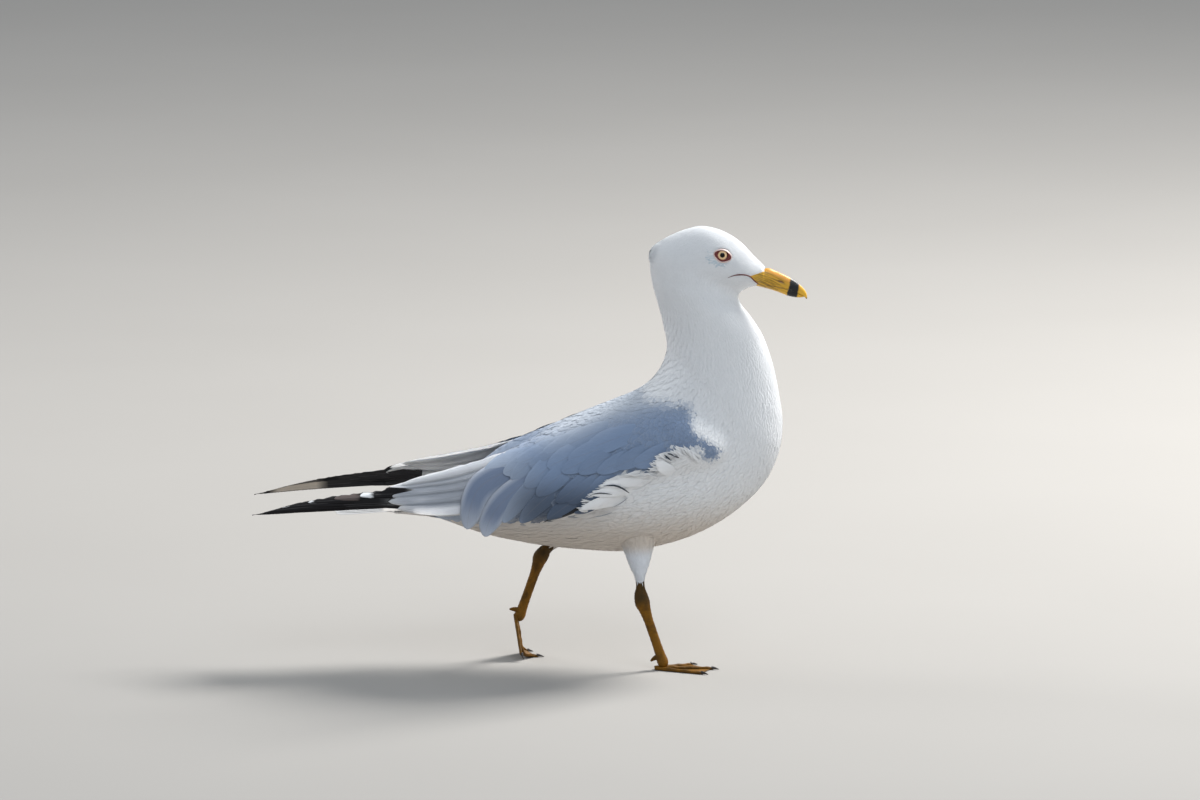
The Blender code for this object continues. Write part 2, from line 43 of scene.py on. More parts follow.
# Sections of the body from the tail coverts to the bill, in millimetres: back x, z; belly x, z;
# half width; how far the widest place lies above the middle, as a share of the half height.
BODY = [
    (-118, 125.9, -118, 122.5, 26, 0), (-105, 127.6, -105, 120.8, 26, 0),
    (-90, 131, -90, 118.5, 24.5, 0), (-78, 136, -78, 116.5, 23.5, 0),
    (-65, 142, -69, 114.6, 22.5, .05),
    (-52, 148, -62, 112, 23, .10), (-31, 157, -36, 103, 31, .10), (-7, 171, -9, 97, 39, .10),
    (17, 185.5, 16, 93, 44, .08), (42, 198.5, 43, 90.5, 48, .05), (64, 207.5, 74, 89.5, 50, 0),
    (82, 215, 107, 95.5, 50.5, 0), (93, 223, 135, 106, 49, 0), (100, 232, 160, 122, 45.5, -.04),
    (104, 241.3, 180, 142, 41.5, -.06), (105.5, 250, 191.8, 166, 37, -.05),
    (104.5, 258, 194.8, 190, 33, 0), (103, 264.5, 191.8, 213.5, 30, 0),
    (101.5, 272, 187, 236, 27.6, 0), (99, 281, 179.4, 257.5, 25.8, 0),
    (96.5, 290, 170.3, 272, 24.6, 0), (94, 299.5, 163.2, 281, 23.6, 0),
    (92.5, 310, 160.5, 287.5, 22, 0), (92.5, 320.5, 162, 291.5, 20.9, .05),
    (96, 328, 164.5, 293.5, 20.4, .05), (105.5, 334.5, 167.5, 295, 19.9, 0),
    (118, 340, 169.5, 295.8, 19, -.05), (130.5, 343, 171.5, 296.2, 17.4, -.10),
    (142, 341.5, 173, 296.5, 15.7, -.15), (153, 337, 174, 296.8, 13.6, -.20),
    (163, 330, 175, 297, 11.4, -.22), (171.5, 321, 175.8, 297.2, 9.4, -.20),
    (177, 315.5, 176.4, 297.3, 7.8, -.15), (181.4, 310.9, 177, 297.4, 6.4, -.10),
]
LAST = len(BODY) - 1
TAIL_ROOT, SHOULDER, NECK, CHEEK = 5, 12, 16, 25

# The folded wing: x; upper edge y, z; lower edge y, z; bow; thickness.
WING = [
    (151, 41, 178, 42, 172.5, .12, 3), (146, 39, 187, 45, 167, .16, 8),
    (130, 35, 202, 49.5, 163, .17, 10.5), (110, 30, 211, 52, 159, .18, 11.5),
    (82, 20, 209.5, 53, 148, .19, 11.5), (50, 14, 200, 51.5, 132, .20, 11),
    (15, 12.5, 186, 48, 121, .20, 10), (-19, 11.5, 172.5, 44, 118, .19, 8.5),
    (-50, 11, 162.5, 41, 121, .16, 6.5), (-80, 11.5, 154.5, 38.5, 124, .12, 4.6),
    (-103, 14, 148, 37, 126, .10, 3.2), (-113, 20, 142.5, 33.5, 130, .06, 1.6),
]
# The black wing tip, in the same terms, and how much higher the left one is carried at each x.
PRIMARIES = [
    (-72, 9, 143, 33, 121, .08, 3.2), (-92, 9.5, 141, 34, 123.5, .08, 3.2),
    (-115, 12, 141.5, 36, 129, .08, 3), (-154, 16, 137, 34.5, 127.2, .08, 2.4),
    (-177, 20, 132.5, 33, 125.2, .06, 1.9), (-196, 24, 127.8, 31.5, 124, .04, 1.4),
    (-211, 27.2, 123.8, 29.6, 122.6, .02, .9), (-214, 28, 122.9, 29, 122.4, 0, .7),
]
LEFT_LIFT = [(-214, 6.0), (-140, 6.4), (-100, 7.0), (-69, 4.2), (-20, 0.0)]

# Outline of the grey mantle and wing from the side, x and z.
MANTLE = [
    (92.4, 300), (92.4, 217), (110, 215.5), (127, 214), (129.5, 206), (128.6, 199.4), (127, 192),
    (133, 187), (138.6, 184.5), (145, 181), (148.2, 176), (146, 170), (141, 167), (134.8, 166.5),
    (132, 171), (131, 179), (124, 178), (115.5, 179.8), (107, 176), (100, 176), (96, 172),
    (94, 166), (91, 160), (80, 160.5), (69.3, 158.7), (60, 157), (53.9, 152.5), (50, 146),
    (46.2, 142), (41, 140), (38.5, 136), (36, 126.7), (7.7, 118), (-75, 112), (-75, 300),
]

# The bill in its own frame: x along it; height of the crest, of the cutting edge and of the
# lower edge; half width.
BILL_BASE = (178.0, 304.2)
BILL_DROOP = math.radians(26)
BILL = [
    (-14.0, -4.4, -5.2, -6.2, 7.6), (-8.0, -1.8, -5.4, -7.4, 7.4), (-2.5, 3.4, -5.2, -8.3, 6.6),
    (2.0, 7.8, -4.9, -7.9, 5.6), (9.0, 8.4, -3.3, -6.5, 4.5), (17.0, 8.6, -1.4, -5.4, 3.8),
    (24.5, 8.1, 0.1, -4.9, 3.4), (30.0, 6.9, 0.4, -3.7, 2.8), (34.5, 5.3, 0.3, -2.2, 2.2),
    (37.6, 3.6, -0.1, -0.9, 1.6), (39.6, 1.6, -0.5, -0.4, 0.9),
]

# The left eye's middle, and the joints of the legs from the side, x and z.
EYE = np.array((147.3, 12.8, 322.5))
EYE_RADIUS = 5.6
LID_X, LID_Z = EYE[0] + 0.9, EYE[2] + 0.1
LEGS = {
    "right": {"hip": (83.2, 100), "heel": (85.6, 56), "foot": (103.5, 4.5), "side": -1},
    "left": {"hip": (36, 104), "heel": (8.8, 82), "foot": (-9.5, 30), "side": 1},
}
SIDES = ((-1, "right"), (1, "left"))
LEG_SPREAD = 25.0
FOOT_BACK = 6.0
FOOT_REACH = 52.0
FOOT_SLOPE = math.radians(80)
TOE_START = 3.0
# Toes: degrees out from the middle one, share of the foot's reach, thickness.
TOES = [(-29.0, 0.78, 2.5), (0.0, 1.0, 2.9), (26.0, 0.93, 2.6)]


# ---------------------------------------------------------------- sums
def ease(low, high, x):
    """0 up to low, 1 from high, and a smooth 3f^2 - 2f^3 between."""
    f = np.clip((x - low) / (high - low), 0, 1)
    return f * f * (3 - 2 * f)


def spline(rows, t):
    """Catmull-Rom curve through rows, one row at each whole number of t."""
    rows = np.asarray(rows, float)
    last = len(rows) - 1
    t = np.clip(np.asarray(t, float), 0, last)
    i = np.minimum(t.astype(int), last - 1)
    f = (t - i)[..., None]
    a, b, c, d = (rows[np.clip(i + k, 0, last)] for k in (-1, 0, 1, 2))
    return 0.5 * (2 * b + (c - a) * f + (2 * a - 5 * b + 4 * c - d) * f ** 2
                  + (3 * b - a - 3 * c + d) * f ** 3)


def unit(v):
    """v / |v|, along the last axis."""
    return v / np.maximum(np.linalg.norm(v, axis=-1, keepdims=True), 1e-9)


def mix(first, second, share):
    """first where share is 0, second where it is 1, and in step between."""
    return first * (1 - share) + second * share


def blur(values, times, wrap=False):
    """Each value moves to a quarter, half, quarter mean of its neighbours, along both axes."""
    for _ in range(times):
        padded = np.pad(values, ((1, 1), (0, 0)), "edge")
        values = (padded[:-2] + 2 * padded[1:-1] + padded[2:]) / 4
        padded = np.pad(values, ((0, 0), (1, 1)), "wrap" if wrap else "edge")
        values = (padded[:, :-2] + 2 * padded[:, 1:-1] + padded[:, 2:]) / 4
    return values


def raised(x):
    """How much higher the left wing is carried at x."""
    return np.interp(x, *zip(*LEFT_LIFT))


def line_distance(points, x, z):
    """Distance from a line of points: to the nearest place on any of its pieces."""
    near = np.full(np.shape(x), 1e9)
    for (x0, z0), (x1, z1) in zip(points, points[1:]):
        dx, dz = x1 - x0, z1 - z0
        f = np.clip(((x - x0) * dx + (z - z0) * dz) / (dx * dx + dz * dz), 0, 1)
        near = np.minimum(near, np.hypot(x - x0 - f * dx, z - z0 - f * dz))
    return near


def polygon_depth(points, x, z):
    """Signed distance from a closed outline, positive inside: nearest edge, sign by crossings."""
    closed = points + points[:1]
    inside = np.zeros(np.shape(x), bool)
    for (x0, z0), (x1, z1) in zip(closed, closed[1:]):
        if z0 != z1:
            inside ^= ((z0 > z) != (z1 > z)) & (x < x0 + (z - z0) * (x1 - x0) / (z1 - z0))
    return line_distance(closed, x, z) * np.where(inside, 1, -1)


def between(table, u, v):
    """A table of vectors looked up at row u and column v, straight between its samples."""
    i = np.minimum(u.astype(int), table.shape[0] - 2)
    j = np.minimum(v.astype(int), table.shape[1] - 2)
    fu, fv = (u - i)[..., None], (v - j)[..., None]
    near = mix(table[i, j], table[i, j + 1], fv)
    return mix(near, mix(table[i + 1, j], table[i + 1, j + 1], fv), fu)


def circle(count):
    """Evenly spaced angles once round."""
    return np.arange(count) * TURN / count


def folded(count):
    """Shares that go 0 to 1 over the top and 1 to 0 underneath, and which are underneath."""
    share = np.linspace(0, 1, count)
    return np.concatenate([share, share[::-1]])[None], np.repeat((0.0, 1.0), count)[None]


def vane_round(across):
    """Places b round a feather, -1 to 1 over the top and back below, and which are below."""
    top = np.linspace(-1, 1, across)
    return np.concatenate([top, top[-2:0:-1]]), np.repeat((0.0, 1.0), (across, across - 2))


def vane_chart(b, s):
    """Chart of a vane: across 0 to 1, and along."""
    return np.stack(np.broadcast_arrays((b + 1) / 2, s), -1)


# ---------------------------------------------------------------- meshes
class Shell:
    """Closed tubes as whole arrays: points in millimetres, faces, corner maps, point values."""

    def __init__(self, rings, origin=(0.02, 0.02), size=(0.96, 0.96), vane=None, lean=None,
                 **values):
        """rings: feathers or tubes, stations, points round, xyz. A fan of triangles shuts
        each end. The bake patch of tube n is origin[n] + size * (round, along). lean is
        the direction that each point's shading leans to, so that small feathers blend."""
        rings = rings.reshape((-1,) + rings.shape[-3:])
        count, along, around, _ = rings.shape
        self.points = rings.reshape(-1, 3)
        i, j = np.meshgrid(np.arange(along - 1), np.arange(around), indexing="ij")
        ci = np.stack([i, i, i + 1, i + 1], -1).reshape(-1, 4)
        cj = np.stack([j, j + 1, j + 1, j], -1).reshape(-1, 4)
        k = np.arange(1, around - 1)
        fan = np.stack([0 * k, k + 1, k], -1)
        ti = np.concatenate([0 * fan, 0 * fan + along - 1])
        tj = np.concatenate([fan, fan[:, ::-1]])
        start = (np.arange(count) * along * around)[:, None, None]
        kinds = ((ci, cj), (ti, tj))
        self.faces = [(a * around + b % around + start).reshape(-1, a.shape[1]) for a, b in kinds]
        origin = np.broadcast_to(origin, (count, 2))[:, None, None]
        places = [np.stack([b / around, a / (along - 1)], -1) for a, b in kinds]
        self.maps = {"OFBake": [(origin + place * size).reshape(-1, 2) for place in places]}
        self.lean = None if lean is None else np.broadcast_to(lean, rings.shape).reshape(-1, 3)
        if vane is not None:
            vane = np.broadcast_to(vane, (count, along, around, 2)).reshape(-1, 2)
            self.maps["vane"] = [vane[face].reshape(-1, 2) for face in self.faces]
        self.values = {}
        for name, value in values.items():
            wide = (3,) if name == "pigment" else ()
            value = np.broadcast_to(value, (count, along, around) + wide)
            self.values[name] = value.reshape(len(self.points), -1)
        if self.volume() < 0:
            self.turn()

    def volume(self):
        """Six times the signed volume: the sum of a . (b x c) over the triangles."""
        quads, tris = self.faces
        halves = np.concatenate([quads[:, [0, 1, 2]], quads[:, [0, 2, 3]], tris])
        a, b, c = (self.points[halves[:, k]] for k in range(3))
        return np.sum(a * np.cross(b, c))

    def turn(self):
        """Reverses every face, with the corner maps in step."""
        self.faces = [face[:, ::-1] for face in self.faces]
        for name, maps in self.maps.items():
            self.maps[name] = [m.reshape(-1, corners, 2)[:, ::-1].reshape(-1, 2)
                               for m, corners in zip(maps, (4, 3))]


def add(name, data):
    """A new object in the scene."""
    item = bpy.data.objects.new(name, data)
    bpy.context.scene.collection.objects.link(item)
    return item


def read(items, field, kind=np.float32):
    """Three numbers of each item, as rows."""
    data = np.empty(len(items) * 3, kind)
    items.foreach_get(field, data)
    return data.reshape(-1, 3)


def store(mesh, name, kind, data):
    """Gives each point a number, a direction, or a colour with an alpha of 1."""
    if kind == "FLOAT_COLOR":
        data = np.concatenate([data, np.ones((len(data), 1))], 1)
    layer = mesh.attributes.get(name) or mesh.attributes.new(name, kind, "POINT")
    field = {"FLOAT": "value", "FLOAT_VECTOR": "vector", "FLOAT_COLOR": "color"}[kind]
    layer.data.foreach_set(field, data.astype(np.float32).ravel())


def build(name, shells, finish, stands_for=(), blend=0.75):
    """One object from several shells, riding on the bird, with its finish and slot; where
    the shells lean, shading takes that share of the leaning direction."""
    start = np.cumsum([0] + [len(s.points) for s in shells[:-1]])
    points = np.concatenate([s.points for s in shells])
    faces = [np.concatenate([s.faces[n] + o for s, o in zip(shells, start)]) for n in (0, 1)]
    corners = np.concatenate([face.ravel() for face in faces])
    four, three = (len(face) for face in faces)
    mesh = bpy.data.meshes.new(name)
    mesh.vertices.add(len(points))
    mesh.vertices.foreach_set("co", (points * MM).astype(np.float32).ravel())
    mesh.loops.add(len(corners))
    mesh.loops.foreach_set("vertex_index", corners.astype(np.int32))
    starts = np.concatenate([np.arange(four) * 4, four * 4 + np.arange(three) * 3])
    mesh.polygons.add(len(starts))
    mesh.polygons.foreach_set("loop_start", starts.astype(np.int32))
    mesh.update(calc_edges=True)
    for key in shells[0].maps:
        layer = mesh.uv_layers.new(name=key)
        uv = np.concatenate([s.maps[key][n] for n in (0, 1) for s in shells])
        layer.data.foreach_set("uv", uv.astype(np.float32).ravel())
    for key, first in shells[0].values.items():
        kind = "FLOAT_COLOR" if first.shape[1] > 1 else "FLOAT"
        store(mesh, key, kind, np.concatenate([s.values[key] for s in shells]))
    mesh.shade_smooth()
    if shells[0].lean is not None:
        lean = np.concatenate([s.lean for s in shells])
        bent = read(mesh.vertex_normals, "vector")
        store(mesh, "custom_normal", "FLOAT_VECTOR", unit(bent * (1 - blend) + lean * blend))
    piece = add(name, mesh)
    mesh.materials.append(finish)
    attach(piece, "root")
    if stands_for:
        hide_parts(*stands_for)
    return piece


def limb(stops, count, around, swell=1):
    """A tube through stops (centre x, y, z, half depth fore and aft, half width): each ring
    is centre + (fore * depth * cos + sideways * width * sin) * swell, across the path."""
    rows = spline(stops, np.linspace(0, len(stops) - 1, count))
    centre = rows[:, :3]
    along = unit(np.gradient(centre, axis=0))
    fore = unit(np.cross((0, 1, 0), along))
    side = np.cross(along, fore)
    angle = circle(around)
    deep = rows[:, 3, None] * np.cos(angle) * swell
    wide = rows[:, 4, None] * np.sin(angle) * swell
    return (centre[:, None] + fore[:, None] * deep[..., None] + side[:, None] * wide[..., None])


# ---------------------------------------------------------------- the bird's outer form
def node_triangles(name):
    """The triangles of a CAD node in millimetres."""
    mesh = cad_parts[name].data
    mesh.calc_loop_triangles()
    return read(mesh.vertices, "co")[read(mesh.loop_triangles, "vertices", np.int32)] / MM


def reach(middle, spoke, triangles):
    """How many spoke lengths from the middle a spoke leaves the triangles, 0 where it misses."""
    corner = triangles[:, 0]
    one = triangles[:, 1] - corner
    two = triangles[:, 2] - corner
    far = np.zeros(len(middle))
    for k in range(0, len(middle), 500):
        o, d = middle[k:k + 500, None], spoke[k:k + 500, None]
        p = np.cross(d, two)
        det = np.sum(p * one, -1)
        det = np.where(abs(det) < 1e-9, 1e-9, det)
        s = o - corner
        u = np.sum(s * p, -1) / det
        q = np.cross(s, one)
        v = np.sum(d * q, -1) / det
        t = np.sum(two * q, -1) / det
        hit = (u >= -1e-3) & (v >= -1e-3) & (u + v <= 1.001) & (t > 0)
        far[k:k + 500] = np.max(np.where(hit, t, 0), axis=1)
    return far


def body_spokes(t, angle):
    """Middle of a section and the spoke from it to the body: up * (cos + rise * sin^2) + Y * sin."""
    rows = spline(BODY, t)
    back_x, back_z, low_x, low_z, half, rise = np.moveaxis(rows, -1, 0)
    middle = np.stack([(back_x + low_x) / 2, 0 * t, (back_z + low_z) / 2], -1)
    up = np.stack([(back_x - low_x) / 2, 0 * t, (back_z - low_z) / 2], -1)
    high = np.cos(angle) + rise * np.sin(angle) ** 2
    return middle, up * high[..., None] + (half * np.sin(angle))[..., None] * (0, 1, 0)


def outer_form():
    """The bird's envelope over sections t and angles a: the body's sections, pushed out to
    the folded wings where these lie on it, and smoothed."""
    t = np.linspace(0, LAST, 500)
    a = np.linspace(0, TURN, 321)
    coarse_t = np.linspace(TAIL_ROOT, NECK + 1, 96)
    coarse_a = np.linspace(0, TURN, 161)[:-1]
    tt, aa = np.meshgrid(coarse_t, coarse_a, indexing="ij")
    middle, spoke = body_spokes(tt, aa)
    push = np.ones(tt.shape)
    for side, label in SIDES:
        pick = np.sin(aa) * side > 0.02
        far = reach(middle[pick], spoke[pick], node_triangles(f"wing_{label}"))
        push[pick] = np.maximum(push[pick], far)
    push = 1 + (push - 1) * ease(-58, -12, (middle + spoke)[..., 0])
    push = blur(push, 5, True)
    push = np.concatenate([push, push[:, :1]], 1)
    rows = np.stack([np.interp(a, np.linspace(0, TURN, 161), row) for row in push])
    full = np.stack([np.interp(t, coarse_t, column, 1, 1) for column in rows.T], 1)
    full = blur(full, 3)
    full[:, -1] = full[:, 0]
    tt, aa = np.meshgrid(t, a, indexing="ij")
    middle, spoke = body_spokes(tt, aa)
    points = middle + spoke * full[..., None]
    along = np.gradient(points, t, axis=0)
    wrapped = np.concatenate([points[:, -2:-1], points, points[:, 1:2]], 1)
    round_ = (wrapped[:, 2:] - wrapped[:, :-2]) / (2 * (a[1] - a[0]))
    normal = unit(np.cross(along, round_))
    for k in (1, 2):
        normal[-k] = normal[-3]
    sizes = np.stack([np.linalg.norm(along, axis=-1), np.linalg.norm(round_, axis=-1)], -1)
    return np.concatenate([points, normal, sizes], -1)


FORM = outer_form()


def form(t, a):
    """Place, outward direction and millimetres per unit of t and a, looked up between samples."""
    u = np.clip(t / LAST, 0, 1) * (FORM.shape[0] - 1)
    v = (a % TURN) / TURN * (FORM.shape[1] - 1)
    found = between(FORM, u, v)
    return found[..., :3], unit(found[..., 3:6]), found[..., 6], found[..., 7]


def blade_face(rows, s):
    """Points of a folded blade's outer face: edge to edge, bowed out, plus half its thickness."""
    t = np.linspace(0, len(rows) - 1, 700)
    x, top_y, top_z, low_y, low_z, bow, thick = (c[:, None] for c in spline(rows, t).T)
    run_y, run_z = low_y - top_y, low_z - top_z
    length = np.hypot(run_y, run_z)
    out = bow * length * 4 * s * (1 - s) + thick / 2 * np.sqrt(4 * np.clip(s * (1 - s), 0, 1))
    y = top_y + run_y * s - run_z / length * out
    z = top_z + run_z * s + run_y / length * out
    return x + 0 * s, y, z


RASTER_X, RASTER_Z = np.arange(-222.0, 203.0), np.arange(70.0, 350.0)


def side_relief():
    """How far out the right side reaches over each x, z: the highest sample in each cell, the
    holes filled from their neighbours; and the top of the side over each x."""
    cells = np.zeros((len(RASTER_X), len(RASTER_Z)))

    def press(x, y, z):
        i = np.clip(np.round(x - RASTER_X[0]).astype(int), 0, len(RASTER_X) - 1)
        k = np.clip(np.round(z - RASTER_Z[0]).astype(int), 0, len(RASTER_Z) - 1)
        np.maximum.at(cells, (i, k), y)

    t, a = np.meshgrid(np.linspace(0, LAST, 1400), np.linspace(0, math.pi, 620), indexing="ij")
    press(*np.moveaxis(form(t, a)[0], -1, 0))
    for rows in (WING, PRIMARIES):
        press(*blade_face(rows, np.linspace(0, 1, 160)[None]))
    x, y, z = blade_face(WING, np.array([[0.93]]))
    hang = np.linspace(-2, 30, 90)[None]
    pick = (x[:, 0] < 12) & (x[:, 0] > -70)
    press(x[pick] + 0 * hang, y[pick] + 0 * hang, z[pick] - hang)
    known = cells > 0
    crest = RASTER_Z[len(RASTER_Z) - 1 - np.argmax(known[:, ::-1], axis=1)]
    filled = cells.copy()
    for _ in range(60):
        weight = blur(known.astype(float), 1)
        spread = blur(np.where(known, filled, 0), 1)
        grown = weight > 1e-3
        filled = np.where(known, filled, np.where(grown, spread / np.maximum(weight, 1e-3), 0))
        known = known | grown
    return blur(filled, 3), crest


RELIEF, CREST = side_relief()


def side_y(x, z):
    """The right side's reach at x, z, between samples."""
    u = np.clip(x - RASTER_X[0], 0, len(RASTER_X) - 1.001)
    v = np.clip(z - RASTER_Z[0], 0, len(RASTER_Z) - 1.001)
    return between(RELIEF[..., None], u, v)[..., 0]


def greyness(x, z, soft):
    """1 on the grey mantle and wings, 0 on white, with a soft border, softest at the neck."""
    fade = (soft + 4.5 * ease(182, 208, z) * ease(60, 90, x)
            + 1.6 * ease(120, 132, x) * ease(192, 182, z))
    return ease(-soft, 2 * fade - soft, polygon_depth(MANTLE, x, z))


WHITE = np.array((0.84, 0.855, 0.875))
# Warm cream: partly a cream tint, partly painted shade and painted warm light from below
CREAM_SHADE = np.array((0.62, 0.54, 0.46))
GREY = np.array((0.205, 0.278, 0.415))
PALE_GREY = np.array((0.50, 0.545, 0.61))
BLACK = np.array((0.011, 0.010, 0.011))


def slate(x, y, z):
    """Blue-grey of the mantle and wing: paler towards the rear; paler towards the spine, partly the
    back's own paler grey and partly painted light on top with painted shade on the sides; and
    painted shade, darkest low on the folded wing."""
    # pale: the rear's own paler grey, and towards the spine partly painted light on the back's top
    pale = np.maximum(0.95 * ease(52, 17, np.abs(y)) * ease(-20, 40, x), 0.5 * ease(22, -35, x))
    # dark: painted shade low on the folded wing
    dark = 0.58 * ease(163, 134, z) * ease(80, 56, x) * ease(-30, 6, x)
    return mix(GREY, PALE_GREY, pale[..., None]) * (1 - dark[..., None])


def plumage(x, y, z, soft):
    """Feather colour by place: white, slate on the back and wings, a warm cream under the belly that
    is partly a cream tint and partly painted shade with painted warm light from below, and a
    painted cool shadow behind and below the eye."""
    grey = greyness(x, z, soft)[..., None]
    # Painted shade and painted warm light: the belly darkens and warms towards the bottom
    warm = (0.9 * ease(146, 100, z))[..., None]
    dx, dz = x - LID_X, z - LID_Z
    off = np.hypot(dx / 10.5, dz / 8.0)
    behind = ease(0.35, 0.95, (-dx - dz) / np.hypot(dx, dz))
    # Painted cool shadow in a crescent behind and below the eye
    eye_shadow = ease(0.70, 0.80, off) * ease(1.15, 0.90, off) * behind
    white = mix(WHITE, CREAM_SHADE, warm) * (1 - eye_shadow[..., None] * (0.30, 0.22, 0.17))
    return mix(white, slate(x, y, z), grey)


# ---------------------------------------------------------------- finishes
def math_sign(operation, swapped=False):
    """A sign between two sockets or a socket and a number, as one Math node."""
    def sum_of(self, other):
        return self.sum(operation, *((other, self) if swapped else (self, other)))
    return sum_of


class Value:
    """A socket that sums can be written with: each sign adds one Math node."""

    def __init__(self, finish, socket):
        self.finish = finish
        self.socket = socket

    def sum(self, operation, *others):
        """One Math node on these sockets and numbers."""
        return self.finish.node("ShaderNodeMath", {"operation": operation}, dict(enumerate(others)))

    __add__ = math_sign("ADD")
    __radd__ = math_sign("ADD", True)
    __sub__ = math_sign("SUBTRACT")
    __rsub__ = math_sign("SUBTRACT", True)
    __mul__ = math_sign("MULTIPLY")
    __truediv__ = math_sign("DIVIDE")
    largest = math_sign("MAXIMUM")

    def __abs__(self):
        return self.sum("ABSOLUTE", self)

    def wave(self):
        """sin(x)."""
        return self.sum("SINE", self)

    def ramp(self, low, high):
        """0 to 1 between low and high, eased; high may be the lower number."""
        return self.finish.node("ShaderNodeMapRange", {"interpolation_type": "SMOOTHSTEP"},
                                {"Value": self, "From Min": low, "From Max": high})


class Finish:
    """A material of nodes ending in one Principled shader."""

    def __init__(self, name, **constants):
        self.material = bpy.data.materials.new(name)
        self.material.use_nodes = True
        self.tree = self.material.node_tree
        self.shader = self.tree.nodes["Principled BSDF"]
        for key, value in constants.items():
            self.shader.inputs[key.replace("_", " ")].default_value = value

    def node(self, kind, settings, values, output=0):
        """A node with its settings and inputs, as the value of one of its outputs."""
        node = self.tree.nodes.new(kind)
        for key, value in settings.items():
            setattr(node, key, value)
        for key, value in values.items():
            self.feed(node.inputs[key], value)
        return Value(self, node.outputs[output])

    def feed(self, socket, value):
        """Links a value to the socket, or sets a constant on it."""
        if isinstance(value, Value):
            self.tree.links.new(value.socket, socket)
        else:
            socket.default_value = value

    def place(self):
        """The point in the piece's own metres."""
        return self.node("ShaderNodeTexCoord", {}, {}, "Object")

    def number(self, name):
        """A number stored on the points."""
        return self.node("ShaderNodeAttribute", {"attribute_name": name}, {}, "Fac")

    def colour(self, name):
        """A colour stored on the points."""
        return self.node("ShaderNodeAttribute", {"attribute_name": name}, {}, "Color")

    def chart(self, name):
        """The two coordinates of a UV map."""
        uv = self.node("ShaderNodeUVMap", {"uv_map": name}, {})
        return (self.node("ShaderNodeSeparateXYZ", {}, {0: uv}, 0),
                self.node("ShaderNodeSeparateXYZ", {}, {0: uv}, 1))

    def noise(self, scale, detail=3.0, stretch=(1, 1, 1), vector=None):
        """Fractal noise, 0 to 1, at the stretched place or vector."""
        spot = self.node("ShaderNodeMapping", {}, {"Vector": vector or self.place(), "Scale": stretch})
        return self.node("ShaderNodeTexNoise", {}, {"Vector": spot, "Scale": scale, "Detail": detail})

    def cell_edges(self, scale):
        """Distance to the nearest edge of irregular cells."""
        return self.node("ShaderNodeTexVoronoi", {"feature": "DISTANCE_TO_EDGE"},
                         {"Vector": self.place(), "Scale": scale})

    def blend(self, factor, first, second, how="MIX"):
        """Colour mix of first and second; a plain triple becomes a colour."""
        sides = [(*c, 1) if isinstance(c, (tuple, list, np.ndarray)) else c for c in (first, second)]
        return self.node("ShaderNodeMix", {"data_type": "RGBA", "blend_type": how},
                         {0: factor, 6: sides[0], 7: sides[1]}, 2)

    def shaded(self, colour, shade):
        """The colour times a shade of grey."""
        grey = self.node("ShaderNodeCombineColor", {}, {0: shade, 1: shade, 2: shade})
        return self.blend(1.0, colour, grey, "MULTIPLY")

    def end(self, colour, roughness=None, height=None, depth=0.0002):
        """Links what varies: base colour, roughness, and a bump of that depth in metres."""
        self.feed(self.shader.inputs["Base Color"], colour)
        if roughness is not None:
            self.feed(self.shader.inputs["Roughness"], roughness)
        if height is not None:
            bump = self.node("ShaderNodeBump", {}, {"Distance": depth, "Height": height})
            self.feed(self.shader.inputs["Normal"], bump)
        return self.material


def down_finish():
    """Small body feathers: pigment by feather, fine barbs slanting off the shaft, soft edges."""
    f = Finish("body_feathers", Specular_IOR_Level=0.25, Sheen_Weight=0.12, Sheen_Roughness=0.6)
    across, along = f.chart("vane")
    off = abs(across - 0.5)
    tone = f.number("tone")
    barbs = ((along * 26 - off * 22) * TURN / 2).wave()
    cloud = f.noise(140, 3.0)
    dark = f.number("greyness")
    edge = off.ramp(0.30, 0.5).largest(along.ramp(0.86, 1.0)) * dark
    colour = f.blend(edge * 0.16, f.colour("pigment"), tuple(PALE_GREY * 1.12))
    shade = 1 + (tone - 0.5) * (0.03 + dark * 0.07) + (cloud - 0.5) * 0.05 + barbs * 0.01
    colour = f.shaded(colour, shade)
    height = barbs * 0.35 + off.ramp(0.05, 0.0) * 0.5 + cloud * 0.6
    return f.end(colour, 0.62 + (tone - 0.5) * 0.1, height, 0.00006)


def skin_finish():
    """What shows between feathers: the same markings over fine down."""
    f = Finish("under_down", Specular_IOR_Level=0.15)
    fluff = f.noise(900, 4.0, (1, 1, 2.2))
    colour = f.shaded(f.colour("pigment"), 0.80 + fluff * 0.16)
    return f.end(colour, 0.8 + fluff * 0.1, fluff, 0.0003)


def quill_finish(name="flight_feathers", **more):
    """Long feathers: pigment along each vane, barbs, a shaft line and splits at the edges."""
    f = Finish(name, Specular_IOR_Level=0.15, **more)
    across, along = f.chart("vane")
    off = abs(across - 0.5)
    tone = f.number("tone")
    lean = f.noise(60, 2.0)
    barbs = ((along * 150 - off * 60 + lean * 5) * TURN / 2).wave()
    streak = f.noise(1.0, 3.0, (1, 1, 1), f.node("ShaderNodeCombineXYZ", {}, {
        0: across * 7 + tone * 40, 1: along * 34 - off * 30, 2: tone * 17}))
    shaft = off.ramp(0.028, 0.008)
    shade = 1 + (streak - 0.5) * 0.22 + barbs * 0.03 + (tone - 0.5) * 0.10
    colour = f.shaded(f.colour("pigment"), shade)
    colour = f.blend(shaft * 0.2, colour, (0.24, 0.23, 0.23))
    height = barbs * 0.10 + shaft * 0.6 + streak * 0.7
    return f.end(colour, 0.50 + streak * 0.16, height, 0.0001)


